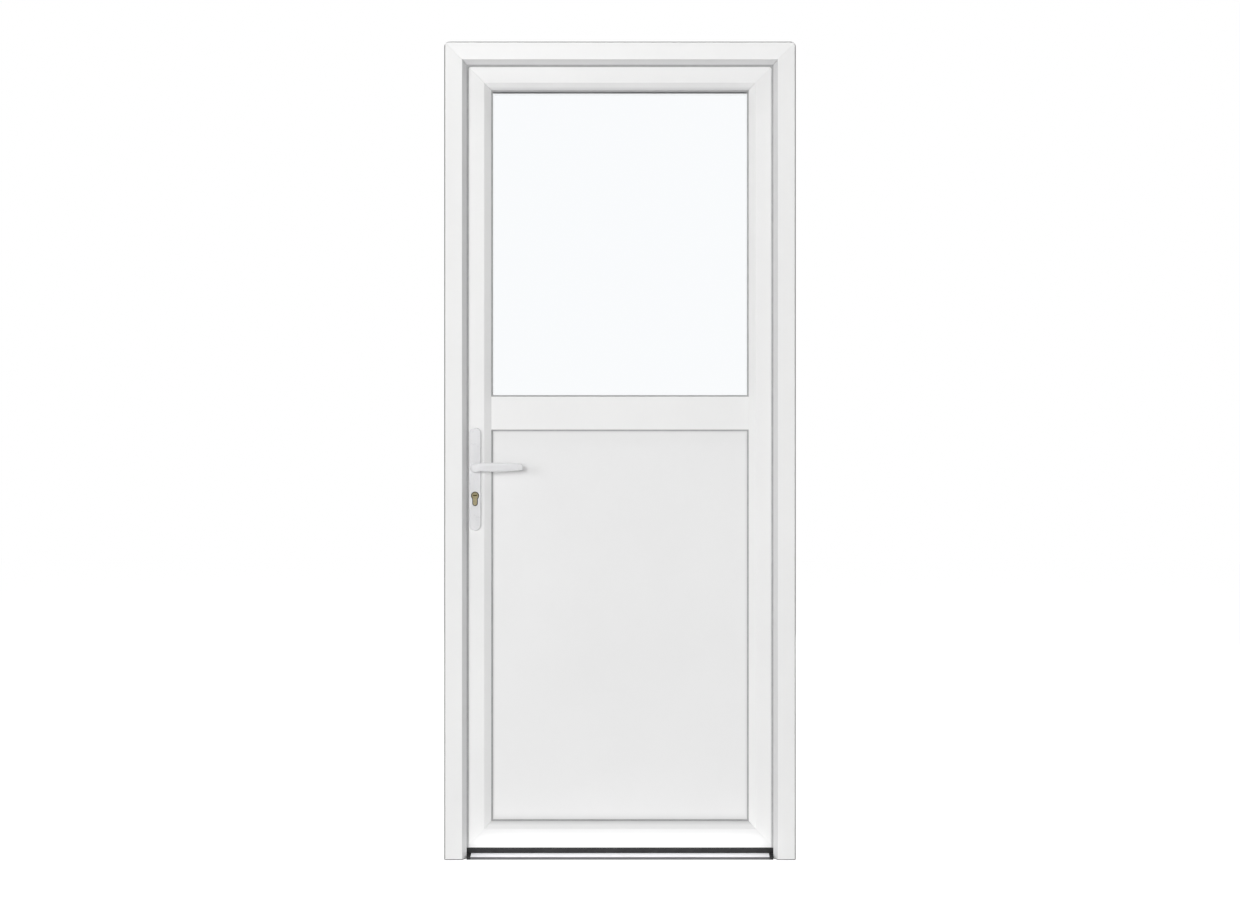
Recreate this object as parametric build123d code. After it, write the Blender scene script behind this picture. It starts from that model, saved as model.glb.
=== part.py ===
from build123d import *
import os

# A half glazed PVC service door that opens inwards, seen from outside:
# X to the right, Y into the building, Z up, origin on the floor under the sill.

# Whole unit
unit_width = 900.0
unit_height = 2095.0
corner_radius = 13.0

# Frame section: widths run inwards from the outer edge, depths from outside to inside
frame_depth = 70.0
frame_face = 46.0
frame_bevel = 11.0
frame_body = 41.0
nose_depth = 18.0
frame_edge_radius = 5.0
bevel_edge_radius = 1.5
nose_radius = 1.0
small_radius = 1.0
clip_groove_width = 9.0
clip_groove_depth = 3.0
clip_groove_spacing = 36.0
profile_wall = 3.0
profile_web = 2.0
rear_chamber_depth = 12.0

# Gaps between frame and leaf
rebate_gap = 12.0
seal_gap = 5.0
seal_clearance = 0.4

# Leaf section
leaf_depth = 70.0
leaf_face = 48.0
leaf_bevel = 17.0
leaf_bevel_depth = 14.0
leaf_lip = 2.5
leaf_flange = 20.0
leaf_bottom = 27.0
seal_land_width = 8.0
seal_land_step = 0.8
leaf_edge_radius = 2.0
glazing_rebate = 19.0
mid_rail_face = 85.0
mid_rail_height = 1144.5

# Hardware groove round the edge of the leaf
hardware_groove_width = 16.0
hardware_groove_depth = 3.0
hardware_groove_axis = 13.0

# Glass unit, lower panel and what holds them
glass_thickness = 4.0
glass_cavity = 16.0
glass_edge_gap = 5.0
glazing_seal = 3.5
bead_seal = 4.0
seal_width = 10.0
seal_lip_taper = 1.2
outer_seal_lip = 4.0
inner_seal_lip = 2.0
bead_top = 10.0
bead_foot = 14.0
bead_radius = 2.0
spacer_height = 7.5
spacer_cover = 4.5

# Frame seal and leaf seal
frame_seal_width = 9.0
frame_seal_lip = 3.5
frame_seal_taper = 1.7
frame_seal_foot = 28.0
leaf_seal_width = 6.5
leaf_seal_inset = 1.0

# Sill
sill_height = 20.0
sill_setback = 5.0
sill_nose = 7.3
sill_slope_top = 12.2
sill_outer_depth = 22.0
sill_break_depth = 18.0
sill_end_width = 10.0
sill_nose_radius = 1.5
sill_wall = 2.0
tread_groove_count = 3
tread_groove_width = 2.0
tread_groove_depth = 0.8
tread_groove_pitch = 5.0
drip_seal_setback = 2.0
drip_seal_depth = 6.0
drip_seal_clearance = 0.3
drip_seal_end_gap = 1.0

# Lock and handles
backset = 25.0
lever_height = 1004.0
cylinder_drop = 72.0
plate_width = 30.0
plate_length = 265.0
plate_thickness = 9.0
plate_edge_bevel = 2.5
plate_drop = 162.0
neck_radius = 10.5
neck_length = 38.0
neck_clearance = 0.3
lever_length = 124.0
lever_heel = 9.0
heel_top = 11.7
heel_bottom = 9.5
heel_radius = 9.5
swell_place = 50.0
swell_top = 12.6
swell_bottom = 10.4
swell_radius = 300.0
tip_top = 8.5
tip_bottom = 4.5
tip_radius = 6.0
grip_thickness = 14.0
grip_round = 5.0
grip_back_bevel = 3.0
spindle_size = 8.0
spindle_clearance = 0.1
spindle_grip = 26.0
spindle_hole_radius = 8.0
cylinder_radius = 8.5
cylinder_height = 33.0
cylinder_stem = 10.0
cylinder_proud = 1.5
cylinder_clearance = 0.3
plug_radius = 6.5
plug_groove = 0.5
plug_groove_depth = 0.6
key_slot_width = 9.0
key_slot_height = 2.6
key_slot_depth = 6.0

# Lock strip in the leaf's edge and keeps on the frame
faceplate_bottom = 240.0
faceplate_top_inset = 255.0
faceplate_end_radius = 7.0
bolt_width = 11.0
bolt_clearance = 0.3
bolt_depth = 14.0
latch_length = 32.0
latch_rise = 8.0
dead_bolt_length = 34.0
side_bolt_length = 40.0
side_bolt_inset = 140.0
keep_thickness = 3.0
keep_width = 20.0
keep_margin = 22.0
keep_end_radius = 6.0

# Hinges
hinge_low = 230.0
hinge_top_inset = 245.0
hinge_axis_gap = 10.0
hinge_axis_proud = 2.0
knuckle_radius = 8.5
end_knuckle_length = 30.0
middle_knuckle_length = 38.0
knuckle_gap = 0.5
pin_radius = 4.0
pin_clearance = 0.05
hinge_plate_thickness = 4.0
frame_plate_width = 26.0
leaf_plate_width = 34.0
hinge_edge_radius = 1.5
cap_height = 4.0

# Places that follow from the sizes above
half_width = unit_width / 2
outside = -frame_depth / 2
inside = frame_depth / 2
nose_back = outside + nose_depth
nose_edge = frame_face + frame_bevel
leaf_edge = frame_body + rebate_gap
leaf_front = nose_back + seal_gap
leaf_back = leaf_front + leaf_depth
flange_front = inside + seal_gap
flange_edge = leaf_edge - leaf_flange
leaf_half = half_width - leaf_edge
leaf_top = unit_height - leaf_edge
lip_edge = leaf_face + leaf_bevel
rebate_base = lip_edge - glazing_rebate
lip_back = leaf_front + leaf_bevel_depth + leaf_lip
glass_front = lip_back + glazing_seal
glass_back = glass_front + 2 * glass_thickness + glass_cavity
bead_front = glass_back + bead_seal
light_half = leaf_half - rebate_base
rail_core = mid_rail_face / 2 - glazing_rebate
glass_low = mid_rail_height + rail_core
glass_high = leaf_top - rebate_base
panel_low = leaf_bottom + rebate_base
panel_high = mid_rail_height - rail_core
lever_x = -leaf_half + backset
cylinder_z = lever_height - cylinder_drop
plate_z = lever_height - plate_drop + plate_length / 2
mirror_depth = (leaf_front + leaf_back) / 2
groove_y = flange_front - hardware_groove_axis
hinge_x = half_width - flange_edge + hinge_axis_gap
hinge_y = leaf_back + hinge_axis_proud
sill_front = outside + sill_setback
sill_break_front = sill_front + sill_outer_depth
sill_break_back = sill_break_front + sill_break_depth
sill_half = half_width - nose_edge - sill_end_width
seal_back = leaf_front + seal_land_step - seal_clearance
seal_lip_edge = nose_edge + frame_seal_lip
faceplate_top = unit_height - faceplate_top_inset
hinge_high = unit_height - hinge_top_inset
hinge_heights = {"bottom": hinge_low, "middle": (hinge_low + hinge_high) / 2, "top": hinge_high}

MITRE_REACH = 400.0


def outline(points, radii):
    """A closed face from corner points, each rounded by its own radius."""
    return make_face(FilletPolyline(*points, radius=radii, close=True).edges())


def ring(section, x_low, x_high, z_low, z_high):
    """Four bars mitred round a rectangle. The section's x runs inwards from the edge."""
    width = x_high - x_low
    height = z_high - z_low
    sides = {
        "lock": ((x_low, 0, z_low), (1, 0, 0), (0, 0, 1), height),
        "top": ((x_low, 0, z_high), (0, 0, -1), (1, 0, 0), width),
        "hinge": ((x_high, 0, z_high), (-1, 0, 0), (0, 0, -1), height),
        "bottom": ((x_high, 0, z_low), (0, 0, 1), (-1, 0, 0), width),
    }
    box = section.bounding_box()
    near = box.min.X
    far = box.max.X
    bars = {}
    for side, (start, inward, along, length) in sides.items():
        across = Plane(origin=start, x_dir=inward, z_dir=along)
        face = across.offset(near) * section
        bar = extrude(face, length - 2 * near)
        flat = Plane(origin=start, x_dir=inward, z_dir=(0, -1, 0))
        mitre = make_face(
            Polyline((near, near), (near, length - near), (far, length - far), (far, far), close=True)
        )
        bars[side] = bar & extrude(flat * mitre, MITRE_REACH, both=True)
    return bars


def joined(bars):
    """The four bars of a seal, welded at the corners into one loop."""
    return bars["lock"] + bars["top"] + bars["hinge"] + bars["bottom"]


def box_between(x_low, x_high, y_low, y_high, z_low, z_high):
    """A block from its two opposite corners."""
    size = (x_high - x_low, y_high - y_low, z_high - z_low)
    centre = ((x_low + x_high) / 2, (y_low + y_high) / 2, (z_low + z_high) / 2)
    return Pos(*centre) * Box(*size)


def along_x(points, radii, x_low, x_high):
    """A section in depth and height, extruded across the door."""
    plane = Plane(origin=(x_low, 0, 0), x_dir=(0, 1, 0), z_dir=(1, 0, 0))
    return extrude(plane * outline(points, radii), x_high - x_low)


def rod(radius, x, z, y_low, y_high):
    """A round bar through the door's thickness."""
    plane = Plane(origin=(x, y_low, z), x_dir=(1, 0, 0), z_dir=(0, 1, 0))
    return extrude(plane * Circle(radius), y_high - y_low)


def post(radius, x, y, z_low, z_high):
    """An upright round bar."""
    return extrude(Plane(origin=(x, y, z_low)) * Circle(radius), z_high - z_low)


def slanted_chamber(near, face_width, slope, front, y_low, y_high):
    """A chamber behind a flat face and its bevel, one wall inside both."""
    inset = profile_wall * (1 + slope**2) ** 0.5

    def edge(y):
        return face_width + (y - front) * slope - inset

    points = [(near, y_low), (edge(y_low), y_low), (edge(y_high), y_high), (near, y_high)]
    return make_face(Polyline(*points, close=True))


def square_chamber(near, far, y_low, y_high):
    """A rectangular chamber from its two opposite corners."""
    centre = ((near + far) / 2, (y_low + y_high) / 2)
    return Pos(*centre) * Rectangle(far - near, y_high - y_low)


def frame_section():
    """Flat face, slanted nose, rebate behind the nose, clip grooves in the back, three chambers."""
    half_groove = clip_groove_width / 2
    half_spacing = clip_groove_spacing / 2
    corners = [
        (0, outside, frame_edge_radius),
        (frame_face, outside, bevel_edge_radius),
        (nose_edge, nose_back, nose_radius),
        (frame_body, nose_back, 0),
        (frame_body, inside, bevel_edge_radius),
        (0, inside, bevel_edge_radius),
    ]
    for middle in (half_spacing, -half_spacing):
        corners.append((0, middle + half_groove, 0))
        corners.append((clip_groove_depth, middle + half_groove, 0))
        corners.append((clip_groove_depth, middle - half_groove, 0))
        corners.append((0, middle - half_groove, 0))
    section = outline([corner[:2] for corner in corners], [corner[2] for corner in corners])
    near = clip_groove_depth + profile_wall
    far = frame_body - profile_wall
    front_end = nose_back - profile_wall
    rear_start = inside - profile_wall - rear_chamber_depth
    slope = frame_bevel / nose_depth
    section -= slanted_chamber(near, frame_face, slope, outside, outside + profile_wall, front_end)
    section -= square_chamber(near, far, front_end + profile_web, rear_start - profile_web)
    section -= square_chamber(near, far, rear_start, inside - profile_wall)
    return section


def frame_bars():
    """Two jambs and a head, mitred at the top, jambs cut square on the floor."""
    below = 2 * nose_edge
    bars = ring(frame_section(), -half_width, half_width, -below, unit_height)
    silhouette = outline(
        [(-half_width, 0), (-half_width, unit_height), (half_width, unit_height), (half_width, 0)],
        [0, corner_radius, corner_radius, 0],
    )
    upright = Plane(origin=(0, 0, 0), x_dir=(1, 0, 0), z_dir=(0, -1, 0))
    limit = extrude(upright * silhouette, frame_depth, both=True)
    return {
        "frame_lock_jamb": bars["lock"] & limit,
        "frame_head": bars["top"] & limit,
        "frame_hinge_jamb": bars["hinge"] & limit,
    }


def frame_seal():
    """The seal on the back of the nose, along both jambs and the head."""
    heel = nose_edge - frame_seal_width
    section = outline(
        [
            (heel, nose_back),
            (nose_edge, nose_back),
            (seal_lip_edge, nose_back + frame_seal_taper),
            (seal_lip_edge, seal_back),
            (heel, seal_back),
        ],
        [0, 0, 0, 0, 0],
    )
    bars = ring(section, -half_width, half_width, -unit_height, unit_height)
    above_foot = box_between(-half_width, half_width, outside, inside, frame_seal_foot, unit_height)
    return (bars["lock"] + bars["top"] + bars["hinge"]) & above_foot


def leaf_section():
    """Leaf member, from its edge inwards: seal land, face, bevel, glazing rebate and flange."""
    groove_low = groove_y - hardware_groove_width / 2
    groove_high = groove_y + hardware_groove_width / 2
    land = leaf_front + seal_land_step
    corners = [
        (0, land, small_radius),
        (seal_land_width, land, 0),
        (seal_land_width, leaf_front, 0),
        (leaf_face, leaf_front, leaf_edge_radius),
        (lip_edge, leaf_front + leaf_bevel_depth, small_radius),
        (lip_edge, lip_back, 0),
        (rebate_base, lip_back, 0),
        (rebate_base, leaf_back, small_radius),
        (-leaf_flange, leaf_back, leaf_edge_radius),
        (-leaf_flange, flange_front, small_radius),
        (0, flange_front, 0),
        (0, groove_high, 0),
        (hardware_groove_depth, groove_high, 0),
        (hardware_groove_depth, groove_low, 0),
        (0, groove_low, 0),
    ]
    section = outline([corner[:2] for corner in corners], [corner[2] for corner in corners])
    far = rebate_base - profile_wall
    front_end = lip_back - profile_wall
    rear_start = flange_front + profile_wall
    slope = leaf_bevel / leaf_bevel_depth
    section -= slanted_chamber(profile_wall, leaf_face, slope, leaf_front, land + profile_wall, front_end)
    section -= square_chamber(
        hardware_groove_depth + profile_wall, far, front_end + profile_web, rear_start - profile_web
    )
    section -= square_chamber(profile_wall - leaf_flange, far, rear_start, leaf_back - profile_wall)
    return section


def cylinder_outline(clearance):
    """The pear shaped outline of the lock cylinder, grown by a clearance."""
    round_part = Circle(cylinder_radius + clearance)
    stem_radius = cylinder_stem / 2 + clearance
    stem_drop = cylinder_height - cylinder_radius - cylinder_stem / 2
    stem = Pos(0, -stem_drop / 2) * Rectangle(2 * stem_radius, stem_drop)
    foot = Pos(0, -stem_drop) * Circle(stem_radius)
    return round_part + stem + foot


def cylinder_solid(clearance, y_low, y_high):
    """The cylinder's outline carried through the door's thickness."""
    plane = Plane(origin=(lever_x, y_high, cylinder_z), x_dir=(1, 0, 0), z_dir=(0, -1, 0))
    return extrude(plane * cylinder_outline(clearance), y_high - y_low)


def leaf_bars():
    """Four mitred members, the lock stile bored for the spindle and the cylinder."""
    bars = ring(leaf_section(), -leaf_half, leaf_half, leaf_bottom, leaf_top)
    bore = rod(spindle_hole_radius, lever_x, lever_height, outside, leaf_back + seal_gap)
    keyhole = cylinder_solid(cylinder_clearance, outside, leaf_back + seal_gap)
    return {
        "leaf_lock_stile": bars["lock"] - bore - keyhole,
        "leaf_top_rail": bars["top"],
        "leaf_hinge_stile": bars["hinge"],
        "leaf_bottom_rail": bars["bottom"],
    }


def mid_rail():
    """A flat faced T bar: its face meets the bevels, its core runs to the stiles' rebates."""
    face_front = leaf_front + leaf_bevel_depth
    face_half = leaf_half - lip_edge
    z_low = mid_rail_height - mid_rail_face / 2
    z_high = mid_rail_height + mid_rail_face / 2
    face = box_between(-face_half, face_half, face_front, lip_back, z_low, z_high)
    core = box_between(-light_half, light_half, lip_back, leaf_back, panel_high, glass_low)
    middle = (lip_back + leaf_back) / 2
    halves = (
        (lip_back + profile_wall, middle - profile_web / 2),
        (middle + profile_web / 2, leaf_back - profile_wall),
    )
    for y_low, y_high in halves:
        core -= box_between(
            -light_half, light_half, y_low, y_high, panel_high + profile_wall, glass_low - profile_wall
        )
    return face + core


def bead_section():
    """A snap-in bead: a straight foot at the glass, then a slant to the leaf's inside face."""
    points = [
        (0, bead_front),
        (glazing_rebate, bead_front),
        (glazing_rebate, bead_front + bead_foot),
        (bead_top, leaf_back),
        (0, leaf_back),
    ]
    return outline(points, [0, 0, bead_radius, bead_radius, 0])


def seal_section(lip, y_low, y_high):
    """A flat glazing seal whose lip shows past the edge that carries it."""
    edge = glazing_rebate + lip
    heel = edge - seal_width
    points = [
        (heel, y_low),
        (edge - seal_lip_taper, y_low),
        (edge, y_low + seal_lip_taper),
        (edge, y_high - seal_lip_taper),
        (edge - seal_lip_taper, y_high),
        (heel, y_high),
    ]
    return make_face(Polyline(*points, close=True))


def spacer_section():
    """The spacer bar between the two panes."""
    foot = glass_edge_gap + spacer_cover
    y_low = glass_front + glass_thickness
    y_high = y_low + glass_cavity
    return square_chamber(foot, foot + spacer_height, y_low, y_high)


def glazing():
    """Glass unit and lower panel with their seals and beads."""
    glass_ring = (-light_half, light_half, glass_low, glass_high)
    panel_ring = (-light_half, light_half, panel_low, panel_high)
    outer_seal = seal_section(outer_seal_lip, lip_back, glass_front)
    inner_seal = seal_section(inner_seal_lip, glass_back, bead_front)
    half = light_half - glass_edge_gap
    low = glass_low + glass_edge_gap
    high = glass_high - glass_edge_gap
    nodes = {
        "glass_outer_pane": box_between(-half, half, glass_front, glass_front + glass_thickness, low, high),
        "glass_inner_pane": box_between(-half, half, glass_back - glass_thickness, glass_back, low, high),
        "glass_spacer": joined(ring(spacer_section(), *glass_ring)),
        "lower_panel": box_between(
            -half, half, glass_front, glass_back, panel_low + glass_edge_gap, panel_high - glass_edge_gap
        ),
        "glass_outer_seal": joined(ring(outer_seal, *glass_ring)),
        "glass_inner_seal": joined(ring(inner_seal, *glass_ring)),
        "panel_outer_seal": joined(ring(outer_seal, *panel_ring)),
        "panel_inner_seal": joined(ring(inner_seal, *panel_ring)),
    }
    for opening, place in (("glass", glass_ring), ("panel", panel_ring)):
        for side, bead in ring(bead_section(), *place).items():
            nodes[f"{opening}_bead_{side}"] = bead
    return nodes


def leaf_seal():
    """The seal on the flange, which meets the frame's inside face and the sill."""
    foot = leaf_seal_inset - leaf_flange
    tip = foot + leaf_seal_width
    face = inside + seal_clearance
    middle = (foot + tip) / 2
    points = [(foot, flange_front), (foot + seal_lip_taper, face), (middle, face), (tip, flange_front)]
    section = make_face(Polyline(*points, close=True))
    return joined(ring(section, -leaf_half, leaf_half, leaf_bottom, leaf_top))


def sill_nodes():
    """Two aluminium rails on a plastic thermal break, closed by end blocks in the rebates."""
    nose = [
        (sill_front, 0),
        (sill_front, sill_nose),
        (sill_break_front, sill_slope_top),
        (sill_break_front, 0),
    ]
    outer = along_x(nose, [0, sill_nose_radius, 0, 0], -sill_half, sill_half)
    outer -= along_x(
        [
            (sill_front + sill_wall, sill_wall),
            (sill_front + sill_wall, sill_nose - sill_wall),
            (sill_break_front - sill_wall, sill_slope_top - sill_wall),
            (sill_break_front - sill_wall, sill_wall),
        ],
        [0, 0, 0, 0],
        -sill_half,
        sill_half,
    )
    thermal_break = box_between(-sill_half, sill_half, sill_break_front, sill_break_back, 0, sill_height)
    tread = [(sill_break_back, 0), (sill_break_back, sill_height), (inside, sill_height), (inside, 0)]
    inner = along_x(tread, [0, 0, sill_nose_radius, 0], -sill_half, sill_half)
    middle = (sill_break_back + inside) / 2
    for number in range(tread_groove_count):
        y = middle + (number - (tread_groove_count - 1) / 2) * tread_groove_pitch
        low = y - tread_groove_width / 2
        high = y + tread_groove_width / 2
        floor = sill_height - tread_groove_depth
        inner -= box_between(-sill_half, sill_half, low, high, floor, sill_height)
    inner -= box_between(
        -sill_half,
        sill_half,
        sill_break_back + sill_wall,
        inside - sill_wall,
        sill_wall,
        sill_height - tread_groove_depth - sill_wall,
    )
    end_front = along_x(nose, [0, sill_nose_radius, 0, 0], -half_width + nose_edge, -sill_half)
    end_rear = box_between(-half_width + frame_body, -sill_half, nose_back, inside, 0, sill_height)
    end_slope = box_between(
        -half_width + frame_body, -sill_half, nose_back, sill_break_front, sill_slope_top, sill_height
    )
    end_block = end_front + (end_rear - end_slope)
    return {
        "sill_outer_rail": outer,
        "sill_thermal_break": thermal_break,
        "sill_inner_rail": inner,
        "sill_end_lock": end_block,
        "sill_end_hinge": mirror(end_block, about=Plane.YZ),
    }


def drip_seal():
    """The black seal under the leaf's bottom rail, just above the sill, from jamb to jamb."""
    y_low = leaf_front + drip_seal_setback
    half = leaf_half - drip_seal_end_gap
    z_low = sill_height + drip_seal_clearance
    points = [
        (y_low, leaf_bottom),
        (y_low, z_low),
        (y_low + drip_seal_depth, z_low),
        (y_low + drip_seal_depth, leaf_bottom),
    ]
    return along_x(points, [0, 0, 0, 0], -half, half)


def handle_plate():
    """The outside handle plate: a long slot shape with eased edges, bored for lever and cylinder."""
    plane = Plane(origin=(lever_x, leaf_front, plate_z), x_dir=(0, 0, 1), z_dir=(0, -1, 0))
    plate = extrude(plane * SlotOverall(plate_length, plate_width), plate_thickness)
    plate = chamfer(plate.faces().sort_by(Axis.Y)[0].edges(), plate_edge_bevel)
    front = leaf_front - plate_thickness
    plate -= rod(neck_radius + neck_clearance, lever_x, lever_height, front, leaf_front)
    return plate - cylinder_solid(cylinder_clearance, front, leaf_front)


def lever():
    """The outside lever: a round neck and a swelling grip with a rounded front, cut from one outline."""
    plate_front = leaf_front - plate_thickness
    grip_back = plate_front - neck_length + grip_thickness / 2
    neck = rod(neck_radius, lever_x, lever_height, plate_front - neck_length, leaf_front)
    side = outline(
        [
            (-lever_heel, heel_top),
            (swell_place, swell_top),
            (lever_length, tip_top),
            (lever_length, -tip_bottom),
            (swell_place, -swell_bottom),
            (-lever_heel, -heel_bottom),
        ],
        [heel_radius, swell_radius, tip_radius, tip_radius, swell_radius, heel_radius],
    )
    plane = Plane(origin=(lever_x, grip_back, lever_height), x_dir=(1, 0, 0), z_dir=(0, -1, 0))
    grip = extrude(plane * side, grip_thickness)
    grip = fillet(grip.faces().sort_by(Axis.Y)[0].edges(), grip_round)
    grip = chamfer(grip.faces().sort_by(Axis.Y)[-1].edges(), grip_back_bevel)
    socket_half = spindle_size / 2 + spindle_clearance
    socket = box_between(
        lever_x - socket_half,
        lever_x + socket_half,
        leaf_front - spindle_grip,
        leaf_front,
        lever_height - socket_half,
        lever_height + socket_half,
    )
    return neck + grip - socket


def through_leaf(piece):
    """The same piece on the inside face, mirrored through the middle of the leaf."""
    return mirror(piece, about=Plane(origin=(0, mirror_depth, 0), z_dir=(0, 1, 0)))


def spindle():
    """The square bar that joins the two levers."""
    half = spindle_size / 2
    return box_between(
        lever_x - half,
        lever_x + half,
        leaf_front - spindle_grip,
        leaf_back + spindle_grip,
        lever_height - half,
        lever_height + half,
    )


def lock_cylinder():
    """The cylinder, just proud of both plates, with a plug and a key slot at each end."""
    low = leaf_front - plate_thickness - cylinder_proud
    high = leaf_back + plate_thickness + cylinder_proud
    body = cylinder_solid(0, low, high)
    groove = rod(plug_radius, lever_x, cylinder_z, low, low + plug_groove_depth)
    groove -= rod(plug_radius - plug_groove, lever_x, cylinder_z, low, low + plug_groove_depth)
    slot = box_between(
        lever_x - key_slot_width / 2,
        lever_x + key_slot_width / 2,
        low,
        low + key_slot_depth,
        cylinder_z - key_slot_height / 2,
        cylinder_z + key_slot_height / 2,
    )
    return body - groove - slot - through_leaf(groove) - through_leaf(slot)


def bolt_places():
    """Height and length of each bolt in the lock strip, from the latch outwards."""
    return {
        "latch": (lever_height + latch_rise, latch_length),
        "dead": (cylinder_z, dead_bolt_length),
        "low": (faceplate_bottom + side_bolt_inset, side_bolt_length),
        "high": (faceplate_top - side_bolt_inset, side_bolt_length),
    }


def bolt(height, length, clearance):
    """One bolt drawn back flush with the lock strip, or the hole for it."""
    return box_between(
        -leaf_half,
        -leaf_half + bolt_depth,
        groove_y - bolt_width / 2 - clearance,
        groove_y + bolt_width / 2 + clearance,
        height - length / 2 - clearance,
        height + length / 2 + clearance,
    )


def lock_strip():
    """The long steel strip in the hardware groove and the bolts that sit in it."""
    half = hardware_groove_width / 2
    strip = box_between(
        -leaf_half,
        -leaf_half + hardware_groove_depth,
        groove_y - half,
        groove_y + half,
        faceplate_bottom,
        faceplate_top,
    )
    strip = fillet(strip.edges().filter_by(Axis.X), faceplate_end_radius)
    bolts = []
    pockets = []
    for height, length in bolt_places().values():
        strip -= bolt(height, length, bolt_clearance)
        bolts.append(bolt(height, length, 0))
        pockets.append(bolt(height, length, bolt_clearance))
    return strip, bolts, pockets


def keep(z_low, z_high, windows):
    """A striking plate on the lock jamb's rebate with a window for each bolt."""
    face = -half_width + frame_body
    y_low = groove_y - keep_width / 2
    y_high = min(groove_y + keep_width / 2, inside)
    plate = box_between(face, face + keep_thickness, y_low, y_high, z_low, z_high)
    plate = fillet(plate.edges().filter_by(Axis.X), keep_end_radius)
    for height, length in windows:
        plate -= box_between(
            face,
            face + keep_thickness,
            groove_y - bolt_width / 2 - bolt_clearance,
            groove_y + bolt_width / 2 + bolt_clearance,
            height - length / 2 - bolt_clearance,
            height + length / 2 + bolt_clearance,
        )
    return plate


def keeps():
    """The long keep for latch and dead bolt, and a short one for each side bolt."""
    places = bolt_places()
    latch_height, latch_size = places["latch"]
    dead_height, dead_size = places["dead"]
    main = keep(
        dead_height - dead_size / 2 - keep_margin,
        latch_height + latch_size / 2 + keep_margin,
        [places["latch"], places["dead"]],
    )
    nodes = {"latch_keep": main}
    for name in ("low", "high"):
        height, length = places[name]
        reach = length / 2 + keep_margin
        nodes[f"bolt_keep_{name}"] = keep(height - reach, height + reach, [places[name]])
    return nodes


def hinge_frame_part(height):
    """Frame half of a hinge: plate, two end knuckles on a web, and the fixed pin."""
    half = middle_knuckle_length / 2 + knuckle_gap
    end = half + end_knuckle_length
    plate = box_between(
        hinge_x - knuckle_radius,
        hinge_x - knuckle_radius + frame_plate_width,
        inside,
        inside + hinge_plate_thickness,
        height - end,
        height + end,
    )
    part = fillet(plate.edges().filter_by(Axis.Y), hinge_edge_radius)
    for low, high in ((height - end, height - half), (height + half, height + end)):
        part += post(knuckle_radius, hinge_x, hinge_y, low, high)
        part += box_between(
            hinge_x - knuckle_radius, hinge_x + knuckle_radius, inside, hinge_y, low, high
        )
    return part + post(pin_radius, hinge_x, hinge_y, height - end - cap_height, height + end + cap_height)


def hinge_leaf_part(height):
    """Leaf half of a hinge: plate on the leaf's inside face and the middle knuckle."""
    half = middle_knuckle_length / 2
    end = half + knuckle_gap + end_knuckle_length
    edge = half_width - flange_edge
    plate = box_between(
        edge - leaf_plate_width,
        edge,
        leaf_back,
        leaf_back + hinge_plate_thickness,
        height - end,
        height + end,
    )
    part = fillet(plate.edges().filter_by(Axis.Y), hinge_edge_radius)
    part += box_between(
        edge - hinge_axis_gap,
        hinge_x,
        leaf_back,
        leaf_back + hinge_plate_thickness,
        height - half,
        height + half,
    )
    part += post(knuckle_radius, hinge_x, hinge_y, height - half, height + half)
    return part - post(pin_radius + pin_clearance, hinge_x, hinge_y, height - half, height + half)


def hinges():
    """Three hinges up the right hand side, on the inside."""
    nodes = {}
    for name, height in hinge_heights.items():
        nodes[f"hinge_frame_{name}"] = hinge_frame_part(height)
        nodes[f"hinge_leaf_{name}"] = hinge_leaf_part(height)
    return nodes


def lock_nodes(lock_stile):
    """Lock strip, bolts, cylinder, plates and levers, with the stile cut for the bolts."""
    strip, bolts, pockets = lock_strip()
    for pocket in pockets:
        lock_stile -= pocket
    plate = handle_plate()
    outside_lever = lever()
    return {
        "leaf_lock_stile": lock_stile,
        "lock_strip": strip,
        "lock_bolts": Compound(bolts),
        "lock_cylinder": lock_cylinder(),
        "handle_plate_outside": plate,
        "handle_plate_inside": through_leaf(plate),
        "lever_outside": outside_lever,
        "lever_inside": through_leaf(outside_lever),
        "lever_spindle": spindle(),
    }


def all_nodes():
    """Every piece of the door by name."""
    nodes = frame_bars()
    nodes["frame_seal"] = frame_seal()
    nodes.update(leaf_bars())
    nodes["leaf_mid_rail"] = mid_rail()
    nodes.update(glazing())
    nodes["leaf_seal"] = leaf_seal()
    nodes.update(sill_nodes())
    nodes["drip_seal"] = drip_seal()
    nodes.update(lock_nodes(nodes["leaf_lock_stile"]))
    nodes.update(keeps())
    nodes.update(hinges())
    return nodes


os.makedirs("parts", exist_ok=True)
for node_name, solid in all_nodes().items():
    export_step(solid, f"parts/{node_name}.step")
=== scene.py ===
import bmesh
import bpy
import numpy as np
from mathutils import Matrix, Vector
from mathutils.geometry import tessellate_polygon


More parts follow.
